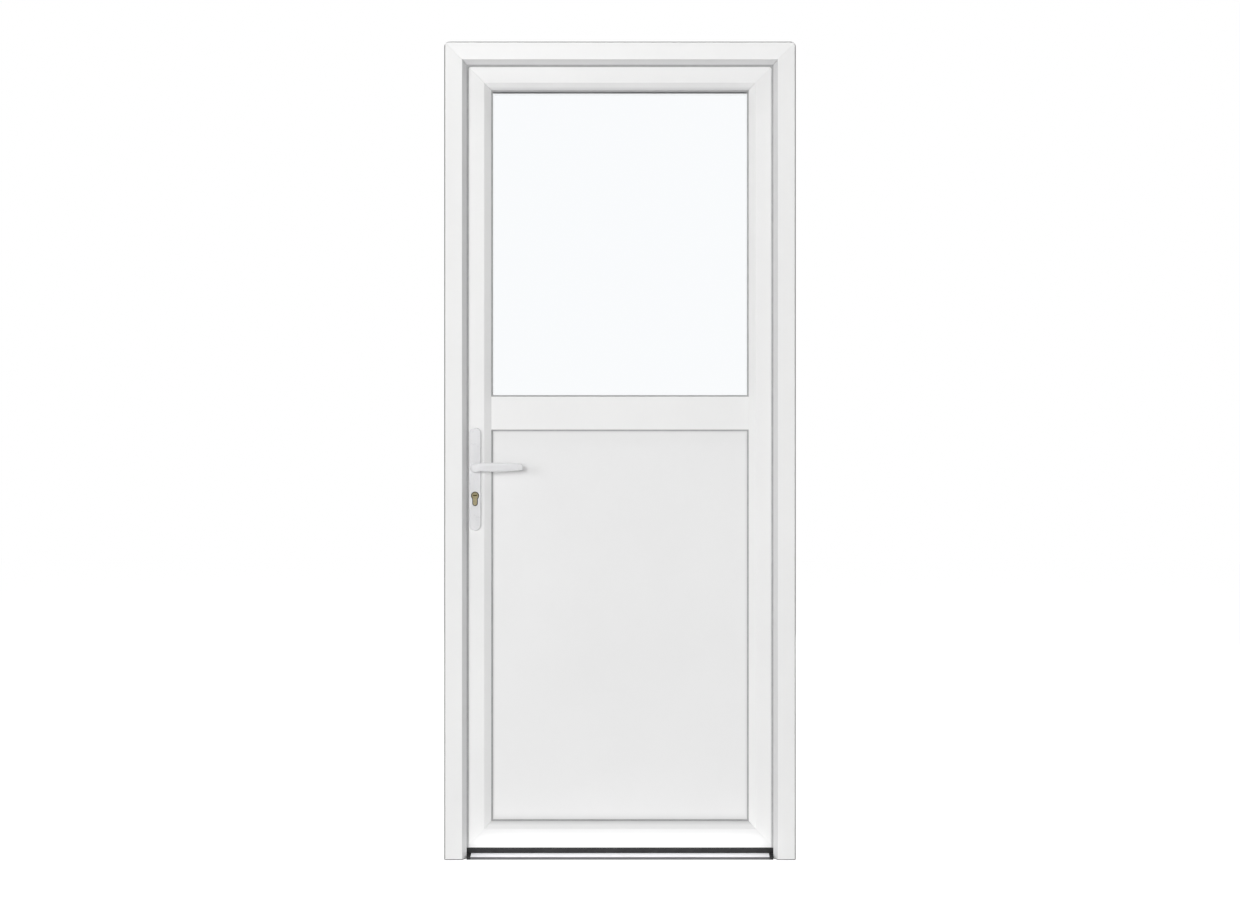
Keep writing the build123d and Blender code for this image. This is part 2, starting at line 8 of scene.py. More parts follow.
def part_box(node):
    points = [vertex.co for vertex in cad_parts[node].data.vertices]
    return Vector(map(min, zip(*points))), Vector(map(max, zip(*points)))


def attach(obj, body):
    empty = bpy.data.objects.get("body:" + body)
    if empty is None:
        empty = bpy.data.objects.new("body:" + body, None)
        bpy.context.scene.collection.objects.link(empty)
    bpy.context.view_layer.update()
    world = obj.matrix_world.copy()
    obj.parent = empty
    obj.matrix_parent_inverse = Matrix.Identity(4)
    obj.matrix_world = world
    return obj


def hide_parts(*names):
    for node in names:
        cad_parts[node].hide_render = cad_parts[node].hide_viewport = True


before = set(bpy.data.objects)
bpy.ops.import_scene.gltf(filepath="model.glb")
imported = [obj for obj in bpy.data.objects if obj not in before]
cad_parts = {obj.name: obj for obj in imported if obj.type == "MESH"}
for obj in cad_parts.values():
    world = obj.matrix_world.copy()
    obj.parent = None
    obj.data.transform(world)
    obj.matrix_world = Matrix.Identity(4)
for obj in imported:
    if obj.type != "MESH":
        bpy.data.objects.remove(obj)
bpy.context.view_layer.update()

# The view: straight on to the outside face, from half the door's height and four and a half metres
# away, so the face fills the picture as a catalogue view of a door does.
VIEW_DISTANCE = 4.535
VIEW_HEIGHT = 1.0494
SENSOR_WIDTH = 36.0
LENS = 51.07
camera_data = bpy.data.cameras.new("front_view")
camera_data.sensor_width = SENSOR_WIDTH
camera_data.lens = LENS
front_view = bpy.data.objects.new("front_view", camera_data)
front_view.location = (0.0, -VIEW_DISTANCE, VIEW_HEIGHT)
front_view.rotation_euler = (np.pi / 2, 0.0, 0.0)
bpy.context.scene.collection.objects.link(front_view)
bpy.context.scene.camera = front_view

# Frame: two jambs and a head of extruded white PVC, cut at 45 degrees and welded at the top
# corners. The weld bead is trimmed off, which leaves a fine groove along each mitre. The nose slants
# back to the leaf, and two clip grooves run down the side that meets the wall.
MM = 0.001
FRAME_BOX = (-450.0, 450.0, 0.0, 2095.0)
FRAME_FACES = (-35.0, 35.0)
FRAME_CORNER = 13.0
FACE_WIDTH = 46.0
ARRIS_WIDTH = 2.8
ARRIS_START = -31.5
WELD_GROOVE = 0.55
FOOT_EASE = 1.5
WELD_RUN = 12.0
WELD_SHARES = (0.0, 0.1, 0.2, 0.35, 0.55, 0.75, 1.0)
SHARP_ANGLE = np.radians(38)
PVC_WHITE = (0.862, 0.862, 0.858)
PVC_SHADE = (0.835, 0.835, 0.833)
# Painted light: the frame head and the leaf's top rail are painted whiter than the other members, as if lit
# more from above.
TOP_PAINTED_LIGHT_WHITE = (0.90, 0.90, 0.898)
TOP_PAINTED_LIGHT_SHADE = (0.88, 0.88, 0.878)
# Painted shade: a near black for the frame's outer arris and foot, and a pale grey for the nose's slant.
ARRIS_PAINTED_SHADE = (0.15, 0.15, 0.15)
ARRIS_TONE = 3.0
SLANT_PAINTED_SHADE = (0.69, 0.69, 0.695)
FOOT_SHADE_HEIGHT = 2.7
TONE_EDGE = 0.5
UPRIGHT_LINES = (260, 260, 1.5)
LEVEL_LINES = (1.5, 260, 260)


def rounded(corners, steps=5):
    """Closed outline from corners (a, b, radius): each becomes an arc that touches both its sides.

    The arc's centre lies on the corner's bisector, one radius from both sides, and the arc's points
    turn evenly from the first side's normal to the second's.
    """
    corners = np.asarray(corners, float)
    place = corners[:, :2]
    radius = corners[:, 2:]
    back = np.roll(place, 1, axis=0) - place
    ahead = np.roll(place, -1, axis=0) - place
    back /= np.linalg.norm(back, axis=1, keepdims=True)
    ahead /= np.linalg.norm(ahead, axis=1, keepdims=True)
    half = 0.5 * np.arccos(np.clip((back * ahead).sum(axis=1, keepdims=True), -1, 1))
    middle = back + ahead
    middle /= np.linalg.norm(middle, axis=1, keepdims=True)
    centre = place + middle * radius / np.sin(half)
    first = (place + back * radius / np.tan(half) - centre)[:, None]
    last = (place + ahead * radius / np.tan(half) - centre)[:, None]
    sweep = (np.pi - 2 * half)[:, None]
    share = np.linspace(0, 1, steps + 1)[None, :, None]
    arc = (np.sin((1 - share) * sweep) * first + np.sin(share * sweep) * last) / np.sin(sweep)
    return (centre[:, None] + arc).reshape(-1, 2)


def outward(outline):
    """Unit normals of a closed outline: the chord between a point's two neighbours, turned outwards."""
    chord = np.roll(outline, -1, axis=-2) - np.roll(outline, 1, axis=-2)
    chord /= np.linalg.norm(chord, axis=-1, keepdims=True)
    ahead = np.roll(outline, -1, axis=-2)
    area = (outline[..., 0] * ahead[..., 1] - outline[..., 1] * ahead[..., 0]).sum()
    return np.sign(area) * np.stack((chord[..., 1], -chord[..., 0]), axis=-1)


def welded_bar(section, side, box, corner=1.0, groove=WELD_GROOVE, foot=False):
    """One side of a welded rectangle: section points (inward, depth) carried along that side.

    A point that lies u inwards starts u past the corner, so the ends are cut at 45 degrees. Outside
    the corner's centre it follows an arc about that centre. The first station sinks by the groove's
    depth. A foot is cut square instead, with an eased edge.
    """
    x_low, x_high, z_low, z_high = box
    upright = side in ("lock", "hinge")
    length = z_high - z_low if upright else x_high - x_low
    share = np.array(WELD_SHARES)[:, None]
    sunk = np.where(share == 0, groove, 0.0)[..., None]
    shrunk = section[None] - sunk * outward(section)[None]
    u = shrunk[..., 0]
    depth = shrunk[..., 1]
    centre = section[:, 0].min() + corner
    angle = (1 - share) * np.pi / 4
    reach = np.maximum(centre - u, 0)
    beyond = u + share * np.clip(u - centre, 0, WELD_RUN)
    along = np.where(u < centre, centre - reach * np.sin(angle), beyond)
    inward = np.where(u < centre, centre - reach * np.cos(angle), u)
    first = (along, inward, depth)
    if foot:
        eased = np.where(share == 0, FOOT_EASE, 0.0)[..., None]
        plain = section[None] - eased * outward(section)[None]
        first = (share * WELD_RUN + 0 * u, plain[..., 0], plain[..., 1])
    run = np.concatenate((first[0], (length - along)[::-1]))
    inset = np.concatenate((first[1], inward[::-1]))
    y = np.concatenate((first[2], depth[::-1]))
    if upright:
        x = x_low + inset if side == "lock" else x_high - inset
        return np.stack((x, y, z_low + run), axis=-1)
    z = z_high - inset if side == "top" else z_low + inset
    return np.stack((x_low + run, y, z), axis=-1)


def as_piece(name, mesh):
    """A mesh as a smooth shaded piece: edges over the sharp angle stay hard and flat faces stay flat."""
    mesh.polygons.foreach_set("use_smooth", np.ones(len(mesh.polygons), bool))
    mesh.set_sharp_from_angle(angle=SHARP_ANGLE)
    piece = bpy.data.objects.new(name, mesh)
    bpy.context.scene.collection.objects.link(piece)
    piece.modifiers.new("flat_faces", "WEIGHTED_NORMAL").keep_sharp = True
    return piece


def skin(name, *grids, ring=False):
    """One mesh of closed bodies, each a grid of points: rows are stations, columns go round.

    Neighbouring rows and columns make the faces. An open run gets end faces, a ring joins its last
    row to its first. The enclosed volume, a sum of triple products, says if faces have to be turned.
    """
    points = []
    faces = []
    count = 0
    for grid in grids:
        rows, columns = grid.shape[:2]
        place = grid.reshape(-1, 3) * MM
        index = np.arange(rows * columns).reshape(rows, columns)
        start = index if ring else index[:-1]
        end = np.roll(index, -1, axis=0) if ring else index[1:]
        quads = np.stack((start, np.roll(start, -1, 1), np.roll(end, -1, 1), end), axis=-1).reshape(-1, 4)
        a, b, c, d = np.moveaxis(place[quads] - place.mean(axis=0), 1, 0)
        volume = (np.cross(a, b) * c).sum() + (np.cross(a, c) * d).sum()
        ends = [] if ring else [index[0, ::-1], index[-1]]
        for face in ends:
            rim = place[face] - place.mean(axis=0)
            volume += (np.cross(rim[1:-1], rim[2:]) * rim[:1]).sum()
        turn = 1 if volume > 0 else -1
        faces += (quads[:, ::turn] + count).tolist()
        faces += [(face[::turn] + count).tolist() for face in ends]
        points.append(place)
        count += len(place)
    mesh = bpy.data.meshes.new(name)
    mesh.from_pydata(np.concatenate(points), [], faces)
    return as_piece(name, mesh)


def fit(piece, finish, slot, body, *nodes):
    """Gives a piece its finish, the body that it moves with and the nodes that it stands for. The slot is
    not used.
    """
    piece.data.materials.clear()
    piece.data.materials.append(finish)
    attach(piece, body)
    if nodes:
        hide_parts(*nodes)
    return piece


def new_finish(name):
    """An empty finish: its material, its node tree and its shader."""
    finish = bpy.data.materials.new(name)
    finish.use_nodes = True
    return finish, finish.node_tree, finish.node_tree.nodes["Principled BSDF"]


def grain(tree, x, y, z, detail=3.0):
    """Noise on object coordinates with so many grains to the metre along each axis."""
    place = tree.nodes.new("ShaderNodeTexCoord")
    stretch = tree.nodes.new("ShaderNodeMapping")
    stretch.inputs["Scale"].default_value = (x, y, z)
    noise = tree.nodes.new("ShaderNodeTexNoise")
    noise.inputs["Scale"].default_value = 1.0
    noise.inputs["Detail"].default_value = detail
    tree.links.new(place.outputs["Object"], stretch.inputs["Vector"])
    tree.links.new(stretch.outputs["Vector"], noise.inputs["Vector"])
    return noise.outputs["Fac"]


def spread(tree, value, low, high):
    """Carries noise, which lies mostly between 0.3 and 0.7, onto another range."""
    remap = tree.nodes.new("ShaderNodeMapRange")
    remap.inputs["From Min"].default_value = 0.3
    remap.inputs["From Max"].default_value = 0.7
    remap.inputs["To Min"].default_value = low
    remap.inputs["To Max"].default_value = high
    tree.links.new(value, remap.inputs["Value"])
    return remap.outputs["Result"]


def between(tree, value, dark, light):
    """A colour between two others, by a noise value."""
    mix = tree.nodes.new("ShaderNodeMix")
    mix.data_type = "RGBA"
    mix.inputs[6].default_value = (*dark, 1)
    mix.inputs[7].default_value = (*light, 1)
    tree.links.new(spread(tree, value, 0, 1), mix.inputs[0])
    return mix.outputs[2]


def relief(tree, value, height, below=None):
    """Bump of a height in metres, laid over another one where there is one."""
    bump = tree.nodes.new("ShaderNodeBump")
    bump.inputs["Distance"].default_value = height
    tree.links.new(value, bump.inputs["Height"])
    if below:
        tree.links.new(below, bump.inputs["Normal"])
    return bump.outputs["Normal"]


def white_pvc(name, across, white=PVC_WHITE, shade=PVC_SHADE):
    """Satin white PVC: a faint cloudiness, fine die lines along the bar and an even skin grain."""
    finish, tree, shader = new_finish(name)
    tree.links.new(between(tree, grain(tree, 3, 3, 3), shade, white), shader.inputs["Base Color"])
    tree.links.new(spread(tree, grain(tree, *across), 0.34, 0.46), shader.inputs["Roughness"])
    skin_grain = relief(tree, grain(tree, 900, 900, 900, 2.0), 0.00003)
    die_lines = relief(tree, grain(tree, *across), 0.00004, skin_grain)
    tree.links.new(die_lines, shader.inputs["Normal"])
    shader.inputs["IOR"].default_value = 1.53
    return finish


def axis_values(tree):
    """The object coordinates x, y and z, in metres, as three separate values."""
    place = tree.nodes.new("ShaderNodeTexCoord")
    axes = tree.nodes.new("ShaderNodeSeparateXYZ")
    tree.links.new(place.outputs["Object"], axes.inputs["Vector"])
    return axes.outputs["X"], axes.outputs["Y"], axes.outputs["Z"]


def ramp(tree, value, start, end):
    """Rises from 0 to 1 while a value in metres goes from start to end, which are in millimetres."""
    remap = tree.nodes.new("ShaderNodeMapRange")
    remap.inputs["From Min"].default_value = start * MM
    remap.inputs["From Max"].default_value = end * MM
    tree.links.new(value, remap.inputs["Value"])
    return remap.outputs["Result"]


def calculate(tree, operation, first, second=None):
    """One step of arithmetic on one or two values."""
    step = tree.nodes.new("ShaderNodeMath")
    step.operation = operation
    tree.links.new(first, step.inputs[0])
    if second is not None:
        tree.links.new(second, step.inputs[1])
    return step.outputs[0]


def tint(finish, share, colour):
    """Mixes another colour into a finish's base colour where the share is above 0."""
    tree = finish.node_tree
    base = tree.nodes["Principled BSDF"].inputs["Base Color"]
    mix = tree.nodes.new("ShaderNodeMix")
    mix.data_type = "RGBA"
    mix.inputs[7].default_value = (*colour, 1)
    tree.links.new(share, mix.inputs[0])
    tree.links.new(base.links[0].from_socket, mix.inputs[6])
    tree.links.new(mix.outputs[2], base)


def paint_frame_shade(finish):
    """Paints shade into a frame finish: dark on the outer arris and the sawn foot, lighter on the nose's
    slant.

    The arris lies far out in x or z and near the front in y, the foot low in z, and the slant inside
    the flat face in x and z and behind it in y. All three are painted shade: the arris for the outer edge's
    shading, the foot for the shadow at the floor, the slant for the shade on the bevel.
    """
    tree = finish.node_tree
    x, y, z = axis_values(tree)
    across = calculate(tree, "ABSOLUTE", x)
    width = FRAME_BOX[1]
    height = FRAME_BOX[3]
    face = FRAME_FACES[0]
    side = ramp(tree, across, width - ARRIS_TONE, width - ARRIS_TONE + TONE_EDGE)
    top = ramp(tree, z, height - ARRIS_TONE, height - ARRIS_TONE + TONE_EDGE)
    front = ramp(tree, y, ARRIS_START, ARRIS_START - TONE_EDGE)
    arris = calculate(tree, "MULTIPLY", calculate(tree, "MAXIMUM", side, top), front)
    foot = ramp(tree, z, FOOT_SHADE_HEIGHT, FOOT_SHADE_HEIGHT - TONE_EDGE)
    inside = calculate(
        tree, "MULTIPLY",
        ramp(tree, across, width - FACE_WIDTH + 2 * TONE_EDGE, width - FACE_WIDTH),
        ramp(tree, z, height - FACE_WIDTH + 2 * TONE_EDGE, height - FACE_WIDTH),
    )
    slant = calculate(tree, "MULTIPLY", inside, ramp(tree, y, face, face + 0.6))
    tint(finish, slant, SLANT_PAINTED_SHADE)
    tint(finish, calculate(tree, "MAXIMUM", arris, foot), ARRIS_PAINTED_SHADE)
    return finish


jamb_pvc = paint_frame_shade(white_pvc("jamb_pvc", UPRIGHT_LINES))
# Painted light: the head is painted whiter than the jambs.
head_pvc = paint_frame_shade(white_pvc("head_pvc", LEVEL_LINES, TOP_PAINTED_LIGHT_WHITE, TOP_PAINTED_LIGHT_SHADE))

outside, inside = FRAME_FACES
frame_section = rounded([
    (0, ARRIS_START, 1.2), (ARRIS_WIDTH, outside, 1.0), (FACE_WIDTH, outside, 1.5), (57, -17, 1.0),
    (41, -17, 0.4), (41, inside, 1.5), (0, inside, 1.5),
    (0, 22.5, 0.3), (3, 22.5, 0.3), (3, 13.5, 0.3), (0, 13.5, 0.3),
    (0, -13.5, 0.3), (3, -13.5, 0.3), (3, -22.5, 0.3), (0, -22.5, 0.3),
])
for side, node, finish in (
    ("lock", "frame_lock_jamb", jamb_pvc),
    ("top", "frame_head", head_pvc),
    ("hinge", "frame_hinge_jamb", jamb_pvc),
):
    grid = welded_bar(frame_section, side, FRAME_BOX, corner=FRAME_CORNER, foot=side != "top")
    fit(skin(f"welded_{node}", grid), finish, "white_pvc", "frame", node)

# Frame seal: a grey rubber lip seal pushed into the back of the nose, bent round the top corners in
# one length, so its lip turns each corner on a small radius.
SEAL_LIP_CORNER = 7.0
SEAL_TURN = 8
SEAL_FOOT = 28.0


def seal_run(section, box, corner, open_foot=False):
    """A seal carried round a rectangle: each point turns the corners on its own arc.

    All arcs of one corner share a centre. The radius is the lip's corner radius plus the distance
    that the point lies outside the lip. With an open foot the run goes up, across and down only.
    """
    x_low, x_high, z_low, z_high = box
    u, y = section.T
    centre = u.max() + corner
    radius = centre - u
    middles = np.array([
        (x_low + centre, z_high - centre), (x_high - centre, z_high - centre),
        (x_high - centre, z_low + centre), (x_low + centre, z_low + centre),
    ])
    turns = np.pi - np.pi / 2 * np.arange(4)[:, None] - np.linspace(0, np.pi / 2, SEAL_TURN + 1)
    x = middles[:, 0, None, None] + radius * np.cos(turns)[..., None]
    z = middles[:, 1, None, None] + radius * np.sin(turns)[..., None]
    if open_foot:
        x = np.concatenate(((x_low + u)[None], x[0], x[1], (x_high - u)[None]))
        low = np.full((1, len(u)), z_low)
        z = np.concatenate((low, z[0], z[1], low))
    x = x.reshape(-1, len(u))
    z = z.reshape(-1, len(u))
    return np.stack((x, np.broadcast_to(y, x.shape), z), axis=-1)


def rubber(name, dark, light, roughness):
    """Matt seal rubber: an even colour with a slight bloom and a fine moulded skin."""
    finish, tree, shader = new_finish(name)
    tree.links.new(between(tree, grain(tree, 60, 60, 60), dark, light), shader.inputs["Base Color"])
    tree.links.new(spread(tree, grain(tree, 200, 200, 200), *roughness), shader.inputs["Roughness"])
    tree.links.new(relief(tree, grain(tree, 1500, 1500, 1500), 0.00005), shader.inputs["Normal"])
    return finish


grey_rubber = rubber("grey_rubber", (0.36, 0.36, 0.365), (0.41, 0.41, 0.415), (0.5, 0.66))
frame_seal_section = rounded([
    (48, -17, 0.3), (57, -17, 0.3), (60.5, -15.3, 0.5), (60.5, -11.6, 1.2), (48, -11.6, 0.5),
])
frame_seal_box = (FRAME_BOX[0], FRAME_BOX[1], SEAL_FOOT, FRAME_BOX[3])
grid = seal_run(frame_seal_section, frame_seal_box, SEAL_LIP_CORNER, open_foot=True)
fit(skin("frame_lip_seal", grid), grey_rubber, "grey_seal", "frame", "frame_seal")

# Sill: two anodised aluminium rails clipped to a black plastic thermal break. The outer rail slopes
# to its nose, the inner one has three tread grooves, and black moulded blocks close both ends.
SILL_HALF = 383.0
SILL_TOP = 20.0
# Painted shade: the outer rail's nose front is painted dark grey from this depth outwards.
NOSE_SHADE_EDGE = -29.9
NOSE_PAINTED_SHADE = (0.115, 0.115, 0.12)
GROOVE_PLACES = (27.5, 22.5, 17.5)
GROOVE_HALF = 1.0
GROOVE_FLOOR = 19.2
ALONG_X = (1, 2, 0)
ALONG_Y = (0, 2, 1)
ALONG_Z = (0, 1, 2)


def eased_prism(outline, low, high, ease, axes, steps=4):
    """A block of one outline with rounded ends: near each end the outline moves in on a quarter circle.

    At angle t of that quarter the outline is ease times (1 - sin t) in from full size and ease times
    (1 - cos t) away from the end. Axes says which of x, y, z the outline's two numbers and the height are.
    """
    turn = np.linspace(0, np.pi / 2, steps + 1)
    inset = ease * (1 - np.sin(turn))
    rise = ease * (1 - np.cos(turn))
    inset = np.concatenate((inset, inset[::-1]))
    height = np.concatenate((low + rise, (high - rise)[::-1]))
    flat = outline[None] - inset[:, None, None] * outward(outline)[None]
    grid = np.empty((len(inset), len(outline), 3))
    grid[..., axes[0]] = flat[..., 0]
    grid[..., axes[1]] = flat[..., 1]
    grid[..., axes[2]] = height[:, None]
    return grid


def anodised(name, edge_y):
    """Matt anodised aluminium with fine brushing along the rail; what lies outside edge_y is painted dark
    grey as painted shade.
    """
    finish, tree, shader = new_finish(name)
    tone = between(tree, grain(tree, 2, 500, 500), (0.90, 0.90, 0.925), (0.95, 0.95, 0.975))
    tree.links.new(tone, shader.inputs["Base Color"])
    tint(finish, ramp(tree, axis_values(tree)[1], edge_y + 0.6, edge_y), NOSE_PAINTED_SHADE)
    tree.links.new(spread(tree, grain(tree, 5, 900, 900), 0.50, 0.64), shader.inputs["Roughness"])
    tree.links.new(relief(tree, grain(tree, 3, 1400, 1400), 0.00003), shader.inputs["Normal"])
    return finish


def black_plastic(name):
    """Black polyamide with the spark-eroded grain of its mould."""
    finish, tree, shader = new_finish(name)
    tone = between(tree, grain(tree, 90, 90, 90), (0.012, 0.012, 0.013), (0.022, 0.022, 0.023))
    tree.links.new(tone, shader.inputs["Base Color"])
    tree.links.new(spread(tree, grain(tree, 300, 300, 300), 0.45, 0.62), shader.inputs["Roughness"])
    tree.links.new(relief(tree, grain(tree, 1800, 1800, 1800), 0.00008), shader.inputs["Normal"])
    return finish


silver_rail = anodised("silver_rail", NOSE_SHADE_EDGE)
black_polyamide = black_plastic("black_polyamide")
outer_rail = rounded([(-30, 0, 0.4), (-8, 0, 0.3), (-8, 12.2, 0.6), (-30, 7.3, 1.8)])
piece = skin("sill_nose_rail", eased_prism(outer_rail, -SILL_HALF, SILL_HALF, 0.2, ALONG_X))
fit(piece, silver_rail, "anodised_aluminium", "frame", "sill_outer_rail")
thermal_break = rounded([(-8, 0, 0.3), (10, 0, 0.3), (10, SILL_TOP, 0.4), (-8, SILL_TOP, 1.0)])
piece = skin("sill_break_bar", eased_prism(thermal_break, -SILL_HALF, SILL_HALF, 0.2, ALONG_X))
fit(piece, black_polyamide, "black_plastic", "frame", "sill_thermal_break")
tread = [(10, 0, 0.3), (35, 0, 0.4), (35, SILL_TOP, 1.5)]
for groove_y in GROOVE_PLACES:
    tread += [(groove_y + GROOVE_HALF, SILL_TOP, 0.2), (groove_y + GROOVE_HALF, GROOVE_FLOOR, 0.2)]
    tread += [(groove_y - GROOVE_HALF, GROOVE_FLOOR, 0.2), (groove_y - GROOVE_HALF, SILL_TOP, 0.2)]
tread += [(10, SILL_TOP, 0.4)]
piece = skin("sill_tread_rail", eased_prism(rounded(tread), -SILL_HALF, SILL_HALF, 0.1, ALONG_X))
fit(piece, silver_rail, "anodised_aluminium", "frame", "sill_inner_rail")
for node in ("sill_end_lock", "sill_end_hinge"):
    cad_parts[node].material_slots[0].material = black_polyamide

# Leaf: four extruded PVC members welded at 45 degrees. Outside they have a seal land, a flat face
# and a wide bevel down to the glass; inside, a flange that overlaps the frame.
LEAF_BOX = (-397.0, 397.0, 27.0, 2042.0)
LEAF_FACES = (-12.0, 58.0)
LEAF_CORNER = 1.5
SEAL_LAND = -11.2
FACE_BACK = 4.5
# Painted shade: a grey for the rails' bevels and a darker grey where they meet the glazing seal.
BEVEL_PAINTED_SHADE = (0.80, 0.80, 0.80)
SEAL_EDGE_PAINTED_SHADE = (0.56, 0.56, 0.565)
BEVEL_END = 4.0
SEAL_SHADE_START = -5.0
# Painted shade: the bottom rail is painted a little greyer than the other rails.
BOTTOM_SHADED_WHITE = (0.83, 0.83, 0.83)
BOTTOM_SHADED_GREY = (0.81, 0.81, 0.81)


def paint_bevel_shade(finish):
    """Paints shade on what lies behind a rail's flat face: a little on the seal land and bevel, and more
    close to the glazing seal.
    """
    tree = finish.node_tree
    y = axis_values(tree)[1]
    outside = ramp(tree, y, BEVEL_END + 1.0, BEVEL_END)
    behind_face = ramp(tree, y, LEAF_FACES[0], SEAL_LAND)
    near_seal = ramp(tree, y, SEAL_SHADE_START, BEVEL_END)
    tint(finish, calculate(tree, "MULTIPLY", behind_face, outside), BEVEL_PAINTED_SHADE)
    tint(finish, calculate(tree, "MULTIPLY", near_seal, outside), SEAL_EDGE_PAINTED_SHADE)
    return finish


upright_pvc = white_pvc("upright_pvc", UPRIGHT_LINES)
# Painted light: the top rail is painted whiter than the stiles.
top_pvc = paint_bevel_shade(white_pvc("top_pvc", LEVEL_LINES, TOP_PAINTED_LIGHT_WHITE, TOP_PAINTED_LIGHT_SHADE))
# Painted shade: the bottom rail's white is greyer than the other rails'.
bottom_pvc = paint_bevel_shade(white_pvc("bottom_pvc", LEVEL_LINES, BOTTOM_SHADED_WHITE, BOTTOM_SHADED_GREY))
outside, inside = LEAF_FACES
leaf_section = rounded([
    (0, SEAL_LAND, 1.0), (8, SEAL_LAND, 0.3), (8, outside, 0.4), (48, outside, 2.5), (65, 2, 1.0),
    (65, FACE_BACK, 0.5), (46, FACE_BACK, 0.4), (46, inside, 0.8), (-20, inside, 2.0), (-20, 40, 1.0),
    (0, 40, 0.4), (0, 35, 0.3), (3, 35, 0.3), (3, 19, 0.3), (0, 19, 0.3),
])
for side, node, finish in (
    ("lock", "leaf_lock_stile", upright_pvc),
    ("top", "leaf_top_rail", top_pvc),
    ("hinge", "leaf_hinge_stile", upright_pvc),
    ("bottom", "leaf_bottom_rail", bottom_pvc),
):
    grid = welded_bar(leaf_section, side, LEAF_BOX, corner=LEAF_CORNER)
    fit(skin(f"welded_{node}", grid), finish, "white_pvc", "leaf", node)

# Mid rail: a T bar of the same PVC, fixed between the stiles by screws through their edges. Its flat
# face lies at the foot of the stiles' bevels, its core runs on to the glazing rebates.
MID_RAIL_HEIGHT = 1144.5
RAIL_FACE_END = 332.0
RAIL_CORE_END = 351.0
RAIL_FACE_HALF = 42.5
RAIL_CORE_HALF = 23.5
level_pvc = white_pvc("level_pvc", LEVEL_LINES)
rail_section = rounded([
    (-RAIL_FACE_HALF, 2, 0.6), (-RAIL_FACE_HALF, FACE_BACK, 0.4), (-RAIL_CORE_HALF, FACE_BACK, 0.3),
    (-RAIL_CORE_HALF, inside, 0.8), (RAIL_CORE_HALF, inside, 0.8), (RAIL_CORE_HALF, FACE_BACK, 0.3),
    (RAIL_FACE_HALF, FACE_BACK, 0.4), (RAIL_FACE_HALF, 2, 0.6),
])
rail_end = np.where(rail_section[:, 1] < FACE_BACK + 0.1, RAIL_FACE_END, RAIL_CORE_END)
rail_run = np.array([-1.0, 1.0])[:, None] * rail_end
rail_height = np.broadcast_to(MID_RAIL_HEIGHT + rail_section[:, 0], rail_run.shape)
rail_depth = np.broadcast_to(rail_section[:, 1], rail_run.shape)
grid = np.stack((rail_run, rail_depth, rail_height), axis=-1)
fit(skin("mid_rail_bar", grid), level_pvc, "white_pvc", "leaf", "leaf_mid_rail")

# Glass unit: two clear panes sealed to a metal spacer filled with drying agent, bedded between grey
# rubber lip seals.
GLASS_BOX = (-351.0, 351.0, 1168.0, 1996.0)
PANEL_BOX = (-351.0, 351.0, 73.0, 1121.0)
LIGHTS = {"glass": GLASS_BOX, "panel": PANEL_BOX}
GLAZING_CORNER = 1.0


def clear_glass(name):
    """Clear float glass with a faint cool tint and the slightest waviness."""
    finish, tree, shader = new_finish(name)
    shader.inputs["Base Color"].default_value = (0.985, 0.993, 1.0, 1)
    shader.inputs["Transmission Weight"].default_value = 1.0
    shader.inputs["Roughness"].default_value = 0.0
    shader.inputs["IOR"].default_value = 1.5
    tree.links.new(relief(tree, grain(tree, 6, 6, 6, 1.0), 0.00002), shader.inputs["Normal"])
    return finish


def spacer_metal(name):
    """Mill finish aluminium strip, dulled, with the fine marks of its rolling."""
    finish, tree, shader = new_finish(name)
    tone = between(tree, grain(tree, 120, 120, 120), (0.42, 0.43, 0.45), (0.56, 0.57, 0.59))
    tree.links.new(tone, shader.inputs["Base Color"])
    tree.links.new(spread(tree, grain(tree, 300, 300, 300), 0.4, 0.55), shader.inputs["Roughness"])
    shader.inputs["Metallic"].default_value = 0.9
    return finish


float_glass = clear_glass("float_glass")
for node in ("glass_outer_pane", "glass_inner_pane"):
    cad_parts[node].material_slots[0].material = float_glass
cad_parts["glass_spacer"].material_slots[0].material = spacer_metal("spacer_strip")
outer_lip = rounded([
    (13, 4.5, 0.3), (21.6, 4.5, 0.8), (23, 5.9, 0.7), (23, 6.8, 0.6), (21.8, 8, 0.6), (13, 8, 0.3),
])
inner_lip = rounded([
    (11, 32, 0.3), (19.8, 32, 0.6), (21, 33.2, 0.6), (21, 34.8, 0.6), (19.8, 36, 0.6), (11, 36, 0.3),
])
for light, box in LIGHTS.items():
    for place, section in (("outer", outer_lip), ("inner", inner_lip)):
        piece = skin(f"{light}_{place}_lip_seal", seal_run(section, box, GLAZING_CORNER), ring=True)
        fit(piece, grey_rubber, "grey_seal", "leaf", f"{light}_{place}_seal")

# Lower panel: a sandwich board with a foam core and smooth white PVC faces, glazed in as the glass is.
# Its faces are painted darker along the rim, a painted shade where the bevels and beads stand over them.
PANEL_WHITE = (0.84, 0.84, 0.84)
PANEL_SHADE = (0.82, 0.82, 0.82)
RIM_PAINTED_SHADE = (0.70, 0.70, 0.70)
RIM_INSET = 22.0
RIM_WIDTH = 10.0


